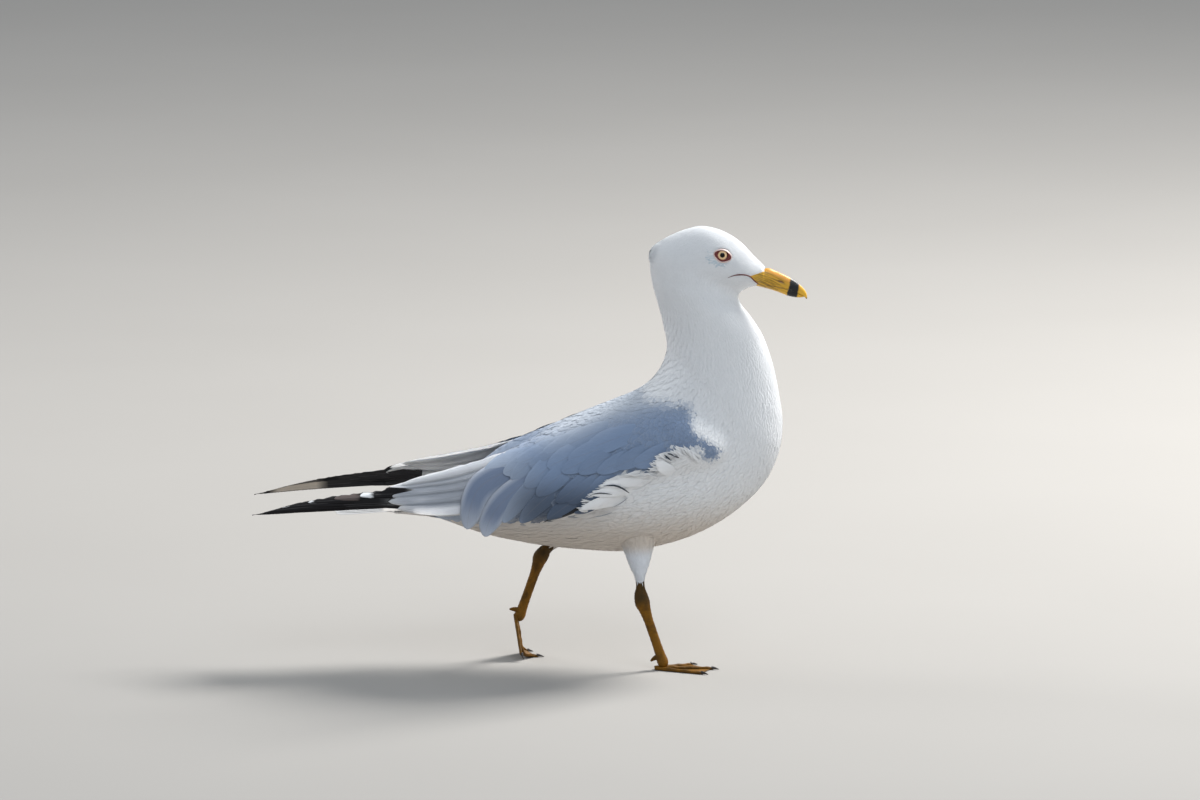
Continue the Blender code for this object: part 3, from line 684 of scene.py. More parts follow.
def bill_finish():
    """Yellow horn, orange on the ridge, olive streaks along its sides, a black band leaning
    forwards at the bottom, an orange-yellow end and a dark point."""
    f = Finish("bill_horn", Specular_IOR_Level=0.4, Coat_Weight=0.15, Coat_Roughness=0.2)
    along = f.number("along")
    high = f.number("high")
    grain = f.noise(420, 4.0, (0.35, 1, 1))
    speck = f.noise(1500, 2.0, (0.3, 1, 1))
    streak = f.noise(1.0, 4.0, (1, 1, 1), f.node("ShaderNodeCombineXYZ", {}, {
        0: along * 0.08, 1: high * 0.95, 2: 3.0}))
    wander = (grain - 0.5) * 2.2
    band = ((along + wander + high * 0.23).ramp(22.4, 23.6)
            * (along + wander * 0.7 + high * 0.29).ramp(31.9, 30.6))
    colour = f.blend(high.ramp(2.5, 8.5), (0.70, 0.385, 0.03), (0.86, 0.36, 0.045))
    colour = f.blend(along.ramp(28, 36), colour, (0.84, 0.46, 0.03))
    side = high.ramp(6.5, 3.5) * along.ramp(24, 12)
    olive = side * streak.ramp(0.40, 0.60)
    colour = f.blend(olive * 0.8, colour, (0.24, 0.13, 0.012))
    colour = f.blend(along.ramp(6, -2) * streak.ramp(0.35, 0.6) * 0.5, colour, (0.33, 0.22, 0.03))
    # Painted shade: the nostril slit is painted dark red as the shade inside its opening
    colour = f.blend(f.number("slit"), colour, (0.10, 0.022, 0.012))
    colour = f.blend(band, colour, (0.005, 0.006, 0.009))
    colour = f.blend(along.ramp(38.3, 39.4) * 0.8, colour, (0.06, 0.035, 0.02))
    colour = f.blend(speck.ramp(0.60, 0.72) * 0.2, colour, (0.48, 0.33, 0.14))
    return f.end(colour, 0.34 + grain * 0.2, grain + speck * 0.5 + streak * 0.8, 0.00014)


def leg_finish():
    """Scaled leg skin: ochre shank and feet, darker toe joints, a darker olive shin and heel that
    are partly a wet, dirty heel and partly painted shade under the belly, dark seams of scales.
    """
    f = Finish("leg_scales", Specular_IOR_Level=0.2)
    darkening_and_shade = f.number("darkening_and_shade")
    net = f.cell_edges(900)
    blotch = f.noise(120, 4.0)
    ridge = f.number("ridge")
    # Darker toe joints and wet heel, plus painted shade on the shin under the belly
    colour = f.blend(darkening_and_shade, (0.215, 0.090, 0.001), (0.04, 0.024, 0.004))
    colour = f.blend(blotch.ramp(0.40, 0.62) * 0.8, colour, (0.085, 0.038, 0.002))
    seam = net.ramp(0.16, 0.02) * 0.35 + ridge.ramp(0.35, 0.05) * 0.40
    colour = f.blend(seam, colour, (0.05, 0.03, 0.012))
    height = net.ramp(0.0, 0.25) * 0.5 + blotch * 0.4
    return f.end(colour, 0.42 + blotch * 0.25, height, 0.00018)


def claw_finish():
    """Near-black horn with a brown grain along the claw."""
    f = Finish("claw_horn", Specular_IOR_Level=0.5)
    grain = f.noise(900, 3.0, (0.3, 1, 1))
    colour = f.blend(grain.ramp(0.35, 0.75), (0.016, 0.012, 0.011), (0.07, 0.05, 0.035))
    return f.end(colour, 0.3 + grain * 0.2, grain, 0.00008)


def eye_finish():
    """Pale iris, peach at its rim and cream round a black pupil, with fine spokes, a thin dark
    line where it ends, and a wet coat."""
    f = Finish("eye", Roughness=0.06, Specular_IOR_Level=0.15, Coat_Weight=0.3, Coat_Roughness=0.02)
    off = f.number("off_axis")
    spokes = f.noise(2600, 3.0)
    colour = f.blend(off.ramp(2.0, 4.0), (0.88, 0.71, 0.42), (0.83, 0.47, 0.26))
    colour = f.blend((spokes - 0.5).ramp(0.0, 0.2) * 0.35, colour, (0.60, 0.30, 0.12))
    colour = f.blend(off.ramp(2.35, 1.95) * 0.6, colour, (0.55, 0.24, 0.06))
    colour = f.blend(off.ramp(1.90, 1.72), colour, (0.004, 0.003, 0.003))
    colour = f.blend(off.ramp(3.95, 4.20), colour, (0.05, 0.008, 0.006))
    return f.end(colour)


def flesh_finish():
    """Bare skin in its own pigment, dark red at the eye and mouth, finely wrinkled."""
    f = Finish("bare_skin", Specular_IOR_Level=0.4)
    crease = f.noise(1500, 3.0)
    colour = f.shaded(f.colour("pigment"), 1.25 - crease * 0.5)
    return f.end(colour, 0.35 + crease * 0.25, crease, 0.0001)


def floor_finish():
    """Matt warm grey, faintly clouded."""
    f = Finish("studio_floor", Specular_IOR_Level=0.15)
    mist = f.noise(3.0, 2.0)
    colour = f.blend(mist, (0.35, 0.337, 0.32), (0.37, 0.357, 0.34))
    return f.end(colour, 0.9)


# ---------------------------------------------------------------- skin
def thigh_stops(leg, shrink=0.0):
    """Centre and half sizes down the feathered thigh, its top buried in the flank."""
    (hip_x, hip_z), (heel_x, heel_z) = leg["hip"], leg["heel"]
    share = np.array((-0.62, -0.30, 0.0, 0.22, 0.42, 0.58))
    spread = np.array((0.62, 0.78, 0.94, 1, 1, 1)) * LEG_SPREAD
    deep = np.array((19, 17.5, 13.5, 10.0, 7.2, 4.0)) - shrink
    wide = np.array((13, 13, 11.5, 9.0, 6.4, 3.8)) - shrink
    return np.stack([hip_x + (heel_x - hip_x) * share, leg["side"] * spread,
                     hip_z + (heel_z - hip_z) * share, deep, wide], -1)


def coat_depth(t, x):
    """How deep the skin lies under the feather tips: shallow on the face, deeper on the body."""
    deeper = 0.22 * ease(CHEEK, NECK, t) + 0.24 * ease(NECK, SHOULDER, t)
    return 0.42 + deeper - 0.2 * ease(-60, -100, x)


def make_skin():
    """The envelope drawn in by the coat's depth and both thighs, fused into one smooth skin."""
    t, a = np.meshgrid(np.linspace(0.12, LAST, 260), np.linspace(0, TURN, 181)[:-1], indexing="ij")
    place, out = form(t, a)[:2]
    shells = [Shell(place - out * coat_depth(t, place[..., 0])[..., None])]
    shells += [Shell(limb(thigh_stops(leg, 0.9), 40, 48)) for leg in LEGS.values()]
    nodes = ["head", "neck", "trunk", "thigh_right", "thigh_left", "wing_right", "wing_left"]
    skin = build("skin", shells, FINISHES["skin"], nodes)
    fuse = skin.modifiers.new("fuse", "REMESH")
    fuse.mode = "VOXEL"
    fuse.voxel_size = 1.32 * MM
    fuse.use_smooth_shade = True
    even = skin.modifiers.new("even", "SMOOTH")
    even.factor = 0.5
    even.iterations = 4
    bpy.context.view_layer.update()
    shown = skin.evaluated_get(bpy.context.evaluated_depsgraph_get())
    mesh = bpy.data.meshes.new_from_object(shown)
    skin.modifiers.clear()
    skin.data = mesh
    x, y, z = read(mesh.vertices, "co").T / MM
    store(mesh, "pigment", "FLOAT_COLOR", plumage(x, y, z, 2.5))


# ---------------------------------------------------------------- small feathers
LATTICE = (0.7548776662466927, 0.5698402909980532)
GOLDEN_ANGLE = 2.39996


def scatter(seed, start, end, cell):
    """Evenly crowded places (t, a) on the envelope between two sections: k * LATTICE mod 1,
    bent so that each place gets cell(t, a, place) square millimetres."""
    rows = 300
    t = np.linspace(start, end, rows)
    a = np.linspace(0, TURN, 241)
    tt, aa = np.meshgrid(t, a, indexing="ij")
    place, _, per_t, per_a = form(tt, aa)
    crowd = per_t * per_a / cell(tt, aa, place)
    total = crowd.mean() * (end - start) * TURN
    k = np.arange(int(total)) + seed * 1000
    u, v = ((0.5 + k * step) % 1 for step in LATTICE)
    down = np.concatenate([[0], np.cumsum(crowd.mean(1)[:-1] + crowd.mean(1)[1:])])
    spot = np.interp(u, down / down[-1], t)
    row = np.clip(np.round((spot - start) / (end - start) * (rows - 1)).astype(int), 0, rows - 1)
    sweep = np.concatenate([np.zeros((rows, 1)), np.cumsum(crowd[:, :-1] + crowd[:, 1:], 1)], 1)
    sweep = sweep / sweep[:, -1:] + np.arange(rows)[:, None]
    return spot, np.interp(v + row, sweep.ravel(), np.tile(a, rows))


CUP = 0.03
BLUNT = 1.0004
PATCH = (0.003, 0.003)


def vane_outline(s):
    """Half width of a body feather along it: opens from the root, full, then a round tip."""
    return (0.45 + 0.55 * ease(0, 0.4, s)) * np.sqrt(np.clip(BLUNT - s ** 3.4, 0, 1))


def lay_vanes(t, a, length, width, sink, lift, yaw, along, across, thick):
    """Small feathers on the envelope. Along s and across b, a vane's point is the surface at the
    root moved back by s * length and sideways by b * half width, turned by yaw; its height is
    lift * s^2 - sink * (1 - s)^1.4 - CUP * half width * b^2. The underside lies thick below."""
    _, _, per_t, per_a = form(t, a)
    per_a = np.maximum(per_a, 2.0)
    s = (1 - np.linspace(1, 0, along) ** 1.7)[None, :, None]
    b, low = (v[None, None] for v in vane_round(across))
    width, length, turn, lift, sink, per_t, per_a = (
        v[:, None, None] for v in (width, length, yaw, lift, sink, per_t, per_a))
    half = width / 2 * vane_outline(s)
    forth = s * length
    side = b * half
    dt = -(forth * np.cos(turn) - side * np.sin(turn)) / per_t
    da = (forth * np.sin(turn) + side * np.cos(turn)) / per_a
    place, out, _, _ = form(t[:, None, None] + dt, a[:, None, None] + da)
    height = (lift * s ** 2 - sink * (1 - s) ** 1.4 - CUP * half * b ** 2
              - low * thick * (1 - 0.35 * s))
    return place + out * height[..., None], vane_chart(b, s), out * (1 - 2 * (low * (s > 0))[..., None])


def eye_opening(x, z):
    """Below 1 inside the eyelids: an ellipse tilted down towards the bill."""
    dx, dz = x - (EYE[0] + 0.9), z - (EYE[2] + 0.2)
    tilt = math.radians(-16)
    p, q = dx * math.cos(tilt) + dz * math.sin(tilt), dz * math.cos(tilt) - dx * math.sin(tilt)
    return np.hypot(p / 7.2, q / 5.6)


GAPE = [(152.2, 305.6), (154.6, 306.6), (158.0, 307.5), (162.1, 307.7), (166.0, 307.2), (169.2, 305.8),
        (171.4, 303.6), (173.4, 301.3), (175.6, 299.2)]
BILL_SKIN = [(169.8, 306.2), (175.6, 307.3), (181.2, 308.4), (182.0, 304.0), (178.0, 298.0),
             (175.5, 298.9), (172.6, 302.0)]


def nape(place):
    """exp(-(r / 5)^2), r from the little tuft at the back of the head; 0 at the sides."""
    away = np.hypot(place[:, 0] - 97, place[:, 2] - 328)
    return np.exp(-(away / 5) ** 2) * ease(11, 6, abs(place[:, 1]))


def coat(name, seed, start, end, cell, size, keep, fine):
    """One stretch of the coat. size(t, place) gives length, width, sink and lift; keep drops
    feathers where something else shows; the nape's feathers are longer, stand up and are lit
    from above."""
    rng = np.random.default_rng(seed)
    t, a = scatter(seed, start, end, cell)
    place = form(t, a)[0]
    mask = keep(t, a, place)
    t, a, place = t[mask], a[mask], place[mask]
    count = len(t)
    length, width, sink, lift = size(t, place)

    def vary(spread):
        return 1 + spread * rng.uniform(-1, 1, count)

    yaw = rng.normal(0, 0.10, count)
    tuft = nape(place)
    length = length * vary(0.15) * (1 + 1.1 * tuft)
    lift = lift * vary(0.7) + 1.3 * tuft * vary(0.4)
    rings, vane, out = lay_vanes(t, a, length, width * vary(0.12), sink, lift, yaw, *fine)
    top = out[:, :, :fine[1]]
    top[:] = unit(top + 1.3 * tuft[:, None, None, None] * (0, 0, 1))
    tips = rings[:, -2, 1]
    shown = line_distance(GAPE, tips[:, 0], tips[:, 2]) > 0.55
    for spot, skin_overlap in ((tips, 0.2), (place, 1.0)):
        x, z = spot[:, 0], spot[:, 2]
        shown &= (eye_opening(x, z) > 1.0) & (polygon_depth(BILL_SKIN, x, z) < skin_overlap)
    rings, out, t, a, place = rings[shown], out[shown], t[shown], a[shown], place[shown]
    centre = rings[:, len(rings[0]) // 2, 1]
    noise = rng.normal(0, 1.2, (2, len(t)))
    gx, gz = centre[:, 0] + noise[0], centre[:, 2] + noise[1]
    origin = np.stack([a / TURN * 0.99, t / LAST * 0.99], -1)
    shell = Shell(rings, origin, PATCH, vane, out,
                  pigment=plumage(gx, centre[:, 1], gz, 1.0)[:, None, None],
                  greyness=greyness(gx, gz, 1.0)[:, None, None],
                  tone=rng.uniform(0, 1, len(t))[:, None, None])
    return build(name, [shell], FINISHES["down"])


# ---------------------------------------------------------------- long feathers
def plume(side, path, up, down, camber=0.5, thick=0.5, along=34, across=9, cling=0.7):
    """One long feather on the bird's side. Along s the shaft follows path (x, z, lay); across b
    the vane runs up or down by its half width; y is the side relief plus lay, less
    camber * b^2, with a low ridge on the shaft; cling is how much the vane's own place counts
    against the shaft's. It shuts round to an underside."""
    s = np.linspace(0, 1, along)
    x, z, lay = spline(path, s * (len(path) - 1)).T
    tx, tz = np.gradient(x), np.gradient(z)
    size = np.hypot(tx, tz)
    tx, tz = tx / size, tz / size
    b, low = (v[None] for v in vane_round(across))
    tip = np.sqrt(np.clip(BLUNT - s ** 9, 0, 1))
    wide_up = spline(np.array(up)[:, None], s * (len(up) - 1))[:, 0] * tip
    wide_down = spline(np.array(down)[:, None], s * (len(down) - 1))[:, 0] * tip
    off = np.where(b > 0, wide_up[:, None], wide_down[:, None]) * b
    px = x[:, None] + tz[:, None] * off
    pz = z[:, None] - tx[:, None] * off
    over = pz - np.interp(px, RASTER_X, CREST) + 1.5
    pz = np.where(over > 0, pz - over * 0.97, pz)
    slope_x = (side_y(px + 1.5, pz) - side_y(px - 1.5, pz)) / 3 * cling / 0.7
    slope_z = (side_y(px, pz + 1.5) - side_y(px, pz - 1.5)) / 3 * cling / 0.7
    lean = unit(np.stack([-slope_x, side + 0 * px, -slope_z], -1))
    steep = np.minimum(np.sqrt(1 + slope_x ** 2 + slope_z ** 2), 2)
    lean = lean * (1 - 2 * low[..., None])
    ridge = 0.22 * np.exp(-(b * 9) ** 2) * (1 - s[:, None])
    skin_y = side_y(px, pz) * cling + side_y(x, z)[:, None] * (1 - cling)
    body = thick * (1 - 0.45 * np.abs(b) ** 2) * (1 - 0.3 * s[:, None])
    y = skin_y + (lay[:, None] - camber * b ** 2 + ridge - low * body) * steep
    lift = raised(px) if side > 0 else 0
    rings = np.stack([px, side * y, pz + lift], -1)
    low, px, pz, b, s = np.broadcast_arrays(low, px, pz, b, s[:, None])
    return rings, lean, low, px, pz, b, s


def feather(points, lays, up, down, taper, paint, **options):
    """One feather for plumes: its path, its half widths up and down along it, and its paint."""
    path = [(*point, lay) for point, lay in zip(points, lays)]
    return path, [up * f for f in taper], [down * f for f in taper], paint, options


def plumes(name, side, specs, stands_for, seed, blend, under=None, finish="quill"):
    """Long feathers as one piece, from (path, up, down, paint, options); paint(x, z, b, s)
    colours them above, and under(x) below where it is given."""
    rng = np.random.default_rng(seed)
    columns = math.ceil(math.sqrt(len(specs)))
    shells = []
    for k, (path, up, down, paint, options) in enumerate(specs):
        rings, lean, low, x, z, b, s = plume(side, path, up, down, **options)
        cell = np.array((k % columns, k // columns)) / columns
        pigment = paint(x, z, b, s)
        if under:
            pigment = np.where(low[..., None] > 0, under(x), pigment)
        shells.append(Shell(rings, cell + 0.01 / columns, (0.97 / columns, 0.97 / columns),
                            vane_chart(b, s), lean if blend else None, pigment=pigment,
                            greyness=0, tone=rng.uniform(0, 1)))
    return build(name, shells, FINISHES[finish], stands_for, blend)


def rim_share(b, s, width, tip):
    """0 in the middle of a vane, 1 at both edges and at its tip."""
    return np.maximum(ease(1 - width, 1, np.abs(b)), ease(tip, 1, s))[..., None]


def edged(base, rim, width, tip):
    """A feather of one colour with a paler rim along both sides and round its tip."""
    def paint(x, z, b, s):
        return mix(np.array(base), np.array(rim), rim_share(b, s, width, tip))
    return paint


def primary_paint(tip_from, tip_colour):
    """Black with a grey base on the inner vane and a pale tip that begins along a worn edge."""
    def paint(x, z, b, s):
        base = (ease(0.30, 0.18, s) * ease(-0.5, 0.3, b))[..., None]
        colour = mix(BLACK, 0.20, base)
        worn = 0.018 * np.sin(5 * b + 40 * tip_from) + 0.012 * np.sin(60 * s + 3 * b)
        tip = ease(tip_from, tip_from + 0.05, s + worn)[..., None]
        return mix(colour, np.asarray(tip_colour), tip)
    return paint


def own_colour(gain, rim):
    """The slate of its own place, a little paler along the edges and round the tip."""
    def paint(x, z, b, s):
        return slate(x, side_y(x, z), z) * (gain + rim * rim_share(b, s, 0.28, 0.90))
    return paint


def one_colour(colour):
    """A paint that is the same all over."""
    return lambda x, z, b, s: np.array(colour)


def make_primaries(side, label):
    """Six long black quills, the outermost lowest and longest, each under the next one in."""
    specs = []
    brown = (0.115, 0.092, 0.088)
    cling = 0.1 + 0.6 * ease(0.35, 0.6, np.linspace(0, 1, 34))[:, None]
    rows = [
        ((-214, 122.8), (-84, 130.5), -1.2, 0.985, WHITE), ((-206, 124.8), (-84, 132), -0.6, 0.97, brown),
        ((-191, 128.4), (-84, 133.5), 0.0, 0.935, WHITE), ((-171, 132.0), (-84, 135.5), 0.6, 0.92, WHITE),
        ((-151, 135.0), (-84, 137), 1.2, 0.66, brown), ((-131, 137.4), (-84, 138.5), 1.8, 0.74, WHITE),
    ]
    for k, ((tip_x, tip_z), (root_x, root_z), lay, tip_from, tip_colour) in enumerate(rows):
        bend = 2.0 - 0.2 * k
        run, fall = tip_x - root_x, tip_z - root_z
        path = [(root_x, root_z, lay - 3.5),
                (root_x + run * 0.3, root_z + fall * 0.25 + bend, lay - 1.6),
                (root_x + run * 0.7, root_z + fall * 0.62 + bend * 0.8, lay), (tip_x, tip_z, lay)]
        specs.append((path, [2.5, 4.4, 4.8, 4.0, 1.8], [2.2, 3.0, 3.0, 2.4, 1.4],
                      primary_paint(tip_from, tip_colour), {"camber": 0.4, "across": 7, "cling": cling}))

    def under(x):
        """Black quills with a broad beige mirror below, before their black tips."""
        mirror = (ease(-202, -196, x) * ease(-158, -166, x))[..., None]
        return mix(np.array((0.022, 0.020, 0.020)), np.array((0.52, 0.46, 0.39)), mirror)
    plumes(f"quills_{label}", side, specs, [f"primaries_{label}"], 31, 0, under)


def make_tertials(side, label):
    """Long pale-edged inner feathers that lie over the black quills, the lowest broadest."""
    rim = (0.86, 0.88, 0.93)
    rows = [
        ([(12, 152), (-30, 137.5), (-66, 129.5), (-102, 128.5)], 9.0, 7.4, -0.6, (0.50, 0.545, 0.635)),
        ([(16, 159), (-28, 145.5), (-68, 136.5), (-109, 133.5)], 7.6, 7.0, 0.0, (0.50, 0.545, 0.635)),
        ([(20, 166), (-26, 152), (-69, 142.5), (-112, 138.5)], 7.2, 6.8, 0.6, (0.53, 0.57, 0.655)),
        ([(20, 172), (-26, 158), (-66, 148), (-109, 142.5)], 6.8, 6.6, 1.2, (0.57, 0.605, 0.68)),
        ([(18, 177), (-26, 163), (-62, 152.5), (-99, 145.5)], 6.0, 6.4, 1.8, (0.68, 0.70, 0.75)),
    ]
    specs = [feather(path, (-3.0, lay - 1.4, lay, lay), up, down, (.4, .8, 1, .95, .75, .4),
                     edged(shade, rim, .34, .86), camber=0.6, thick=0.4)
             for path, up, down, lay, shade in rows]
    # The undersides' pale cream is partly the feathers' own paler underside and partly painted light,
    # brightening the far wing's inner side that the lamps leave in shade
    plumes(f"tertial_feathers_{label}", side, specs, [f"tertials_{label}"], 37, 0,
           lambda x: np.array((0.92, 0.89, 0.85)), "sheer")


def make_secondaries(side, label):
    """Inner secondaries: four that end at the wing's lower edge, then two that droop below it,
    each over the one in front."""
    rows = [
        ([(66.2, 154.3), (56.2, 143.4), (44.7, 134.0), (33.9, 128.2)], 6.0, 6.0, 0.3, 0),
        ([(55.4, 157.4), (40.8, 144.2), (24.6, 131.4), (13.1, 122.8)], 6.6, 6.6, 0.4, 0),
        ([(37.0, 162.1), (20.0, 147.3), (3.9, 132.4), (-7.7, 119.9)], 7.0, 7.6, 0.5, 0),
        ([(24.0, 162.1), (5.0, 149.0), (-11.0, 134.0), (-20.5, 119.5)], 7.4, 7.0, 0.65, 0),
        ([(16.9, 162.1), (-4.6, 150.4), (-22.3, 134.8), (-31.6, 119.9), (-34.6, 108.2)], 8.6, 9.8, 0.9, 1),
        ([(4.6, 163.7), (-16.9, 159.0), (-38.5, 146.5), (-46.2, 129.3), (-48.5, 113.7)], 8.8, 12.6, 1.4, 1),
    ]
    plain = own_colour(1, .22)
    drooping = edged((0.19, 0.24, 0.345), (0.46, 0.50, 0.58), .50, .60)
    specs = [feather(path, (-3.0, lay - 0.9, lay, lay, lay), up, down, (.4, .8, 1.05, 1, .85, .45),
                     drooping if droops else plain, camber=0.7, thick=0.35)
             for path, up, down, lay, droops in rows]
    nodes = [f"secondary_front_{label}", f"secondary_rear_{label}"]
    plumes(f"secondaries_{label}", side, specs, nodes, 41, 0.35)


def make_coverts(side, label):
    """Soft-edged rows over the roots of the long feathers, from (tip x, z), root offset, half
    width and lay: greater coverts, median coverts, then the shoulder feathers."""
    rng = np.random.default_rng(43)
    rows = [
        ([(41, 141), (30, 136), (18, 136.5), (7, 142), (-4, 147.5), (-13, 154)], (34, 26), 6.8, 0.9),
        ([(80, 167), (66, 165), (52, 161.5), (39, 160), (25, 160.5), (12, 163.5), (-2, 164)],
         (34, 16), 7.2, 1.2),
        ([(-21, 157), (-35, 155), (-18, 161), (-6, 166), (8, 170), (-14, 164), (12, 175), (27, 178),
          (43, 177), (30, 170)], (42, 15), 7.0, 1.5),
    ]
    specs = []
    for tips, (dx, dz), half, lay in rows:
        for k, (x, z) in enumerate(tips):
            x, z = x + rng.uniform(-2, 2), z + rng.uniform(-0.8, 0.8)
            bend = rng.uniform(-1.5, 1.5)
            grow = rng.uniform(0.85, 1.15)
            level = lay + 0.07 * k
            points = [(x + dx * grow, z + dz * grow), (x + dx * .62, z + dz * .66 + bend),
                      (x + dx * .3, z + dz * .3 + bend), (x, z)]
            specs.append(feather(points, (-3.0, level - 0.9, level - 0.1, level), half * grow, half * grow,
                                 (.4, .85, 1, 1, .8, .42), own_colour(rng.uniform(0.96, 1.04), .06),
                                 camber=0.2, thick=0.3, along=26))
    plumes(f"coverts_{label}", side, specs, [], 43, 0.85)


FLANK_EDGE = [(126, 175), (118, 181), (109, 178.5), (99, 175), (94, 168), (90, 160.5), (80, 160.5),
              (69, 158.5), (58, 154.5), (50, 147), (43, 140.5), (37, 131)]


def make_flank(side, label):
    """White feathers of the flank that lap over the wing: three broad ones with painted shadow
    between and under them as thin dark and grey strips, one upright tuft, loose wisps along the
    border, and a near-black strip of painted shadow along the folded wing's lower edge."""
    rng = np.random.default_rng(47)
    # Near-black blue for painted shadow strips in the slits between the broad feathers
    dark = one_colour((0.030, 0.040, 0.058))
    specs = []

    def white(x, z, b, s):
        return WHITE * (0.96 + 0.11 * ease(0.35, 0.85, s))[..., None]
    broad = [
        ([(100, 149), (84, 152.5), (68, 152.8), (54.7, 150.2)], 5.6, 4.2, 2.5),
        ([(96, 142), (78, 145.5), (62, 145.6), (46.5, 143.4)], 4.6, 4.2, 2.7),
        ([(94, 134.5), (74, 138.0), (57, 137.0), (38.5, 131.8)], 5.4, 5.0, 2.9),
        ([(118, 153), (110, 159.5), (102.5, 165), (96.5, 171)], 5.0, 5.0, 2.0),
    ]
    for points, up, down, lay in broad:
        specs.append(feather(points, (-2.5, -0.5, lay * 0.8, lay), up, down, (.5, .9, 1, .9, .35), white,
                             camber=0.7, thick=0.3, along=24))
    # Thin dark feathers that are painted shadow in the slits under the broad feathers' edges
    shadow_strips = [
        ([(76.5, 144.5), (70.6, 149.0), (63.9, 151.2), (55.9, 150.6)], 0.68, 3.1),
        ([(63.3, 143.9), (54.4, 144.9), (47.0, 143.9)], 0.42, 3.2),
        ([(108.4, 170.6), (105.6, 173.2), (103.0, 175.2)], 0.6, 2.6),
        ([(110.6, 174.2), (108.4, 175.6), (105.4, 175.9)], 0.5, 2.6),
        ([(114.5, 172.6), (112.2, 173.6), (109.8, 173.4)], 0.5, 2.6),
    ]
    small = {"camber": 0.1, "thick": 0.2, "along": 14, "across": 3}
    for points, half, lay in shadow_strips:
        specs.append(feather(points, [lay] * len(points), half, half, (.25, .9, 1, .8, .2), dark, **small))
    # Grey lines that are painted soft shadow just under the lower edges of two broad feathers
    soft_shadow_lines = ([(75.1, 139.7), (69.3, 135.6), (63.3, 132.4)],
              [(63.1, 127.7), (55.4, 125.4), (48.5, 124)])
    for points in soft_shadow_lines:
        specs.append(feather(points, (0.6, 2.9, 2.2), 1, 1, (.15, .4, .35, .1),
                             one_colour((0.36, 0.38, 0.42)), **small))
    # A near-black strip that is painted shadow along the folded wing's lower edge
    specs.append(([(37.5, 131.5, 0.2), (24, 125.4, 0.2), (10.2, 120.4, 0.2)], [2.4, 2.0, 0.4],
                  [1.6, 1.6, 0.4], one_colour((0.008, 0.009, 0.012)),
                  {**small, "camber": 0.2, "thick": 0.3}))
    edge = np.array(FLANK_EDGE, float)
    spread = np.concatenate([np.linspace(0, 4.6, 46), np.linspace(4.6, len(edge) - 1, 40)])
    for u in spread:
        spot = spline(edge, np.array([u + rng.uniform(0, 0.1)]))[0]
        upright = 1 - min(u / 5.5, 1)
        aim = math.radians(196 - 62 * upright + rng.normal(0, 14))
        heading = np.array((math.cos(aim), math.sin(aim)))
        tip = spot + rng.uniform(-1, 3.5) * heading
        root = tip - rng.uniform(7, 12) * heading + (0, -2)
        middle = (root + tip) / 2 + rng.normal(0, 0.6, 2)
        lays = (-0.6, 1.5, 2.2 + rng.uniform(0, 0.9))
        half = rng.uniform(0.4, 1.3)
        specs.append(feather((root, middle, tip), lays, half, half, (.6, 1, .9, .55, .12), white,
                             camber=0.1, thick=0.22, along=9, across=3))
    plumes(f"flank_feathers_{label}", side, specs, [], 47, 0.8, None, "down")


def make_tail():
    """Twelve white tail feathers in a shallow closed fan, the middle pair on top."""
    shells = []
    s = np.linspace(0, 1, 30)[:, None]
    b, low = (v[None] for v in vane_round(7))
    for k in range(12):
        row, side = divmod(k, 2)
        side = 1 if side else -1
        root_y, tip_y = side * (1.5 + 1.5 * row), side * (3.4 + 4.1 * row)
        tip_x = -154 + 0.9 * row
        half = (3 + 5.2 * ease(0, 0.5, s)) * np.sqrt(BLUNT - s ** 12)
        x = -66 + (tip_x + 66) * s
        y = root_y + (tip_y - root_y) * s + half * b
        z = 125.4 - 0.30 * row - 0.2 * b * side + 0.12 * np.exp(-(b * 8) ** 2) - low * 0.42
        z = z - 0.0015 * y ** 2 * s + 2.2 * (1 - s)
        cell = np.array((k % 4, k // 4)) / 4
        pigment = WHITE * (0.80 - 0.14 * ease(0.6, 1, np.abs(b)))[..., None]
        lean = (1 - 2 * low)[..., None] * (0, 0, 1)
        shells.append(Shell(np.stack(np.broadcast_arrays(x, y, z), -1), cell + 0.005, (0.24, 0.24),
                            vane_chart(b, s), lean, pigment=pigment, tone=(k * 0.37) % 1))
    build("tail_feathers", shells, FINISHES["quill"], ["tail"], 0.45)


# ---------------------------------------------------------------- bill and eyes
def bill_place(x, y, z):
    """From the bill's own frame, which slopes down forwards, to the bird's."""
    c, s = math.cos(BILL_DROOP), math.sin(BILL_DROOP)
    return np.stack([BILL_BASE[0] + x * c + z * s, y, BILL_BASE[1] - x * s + z * c], -1)


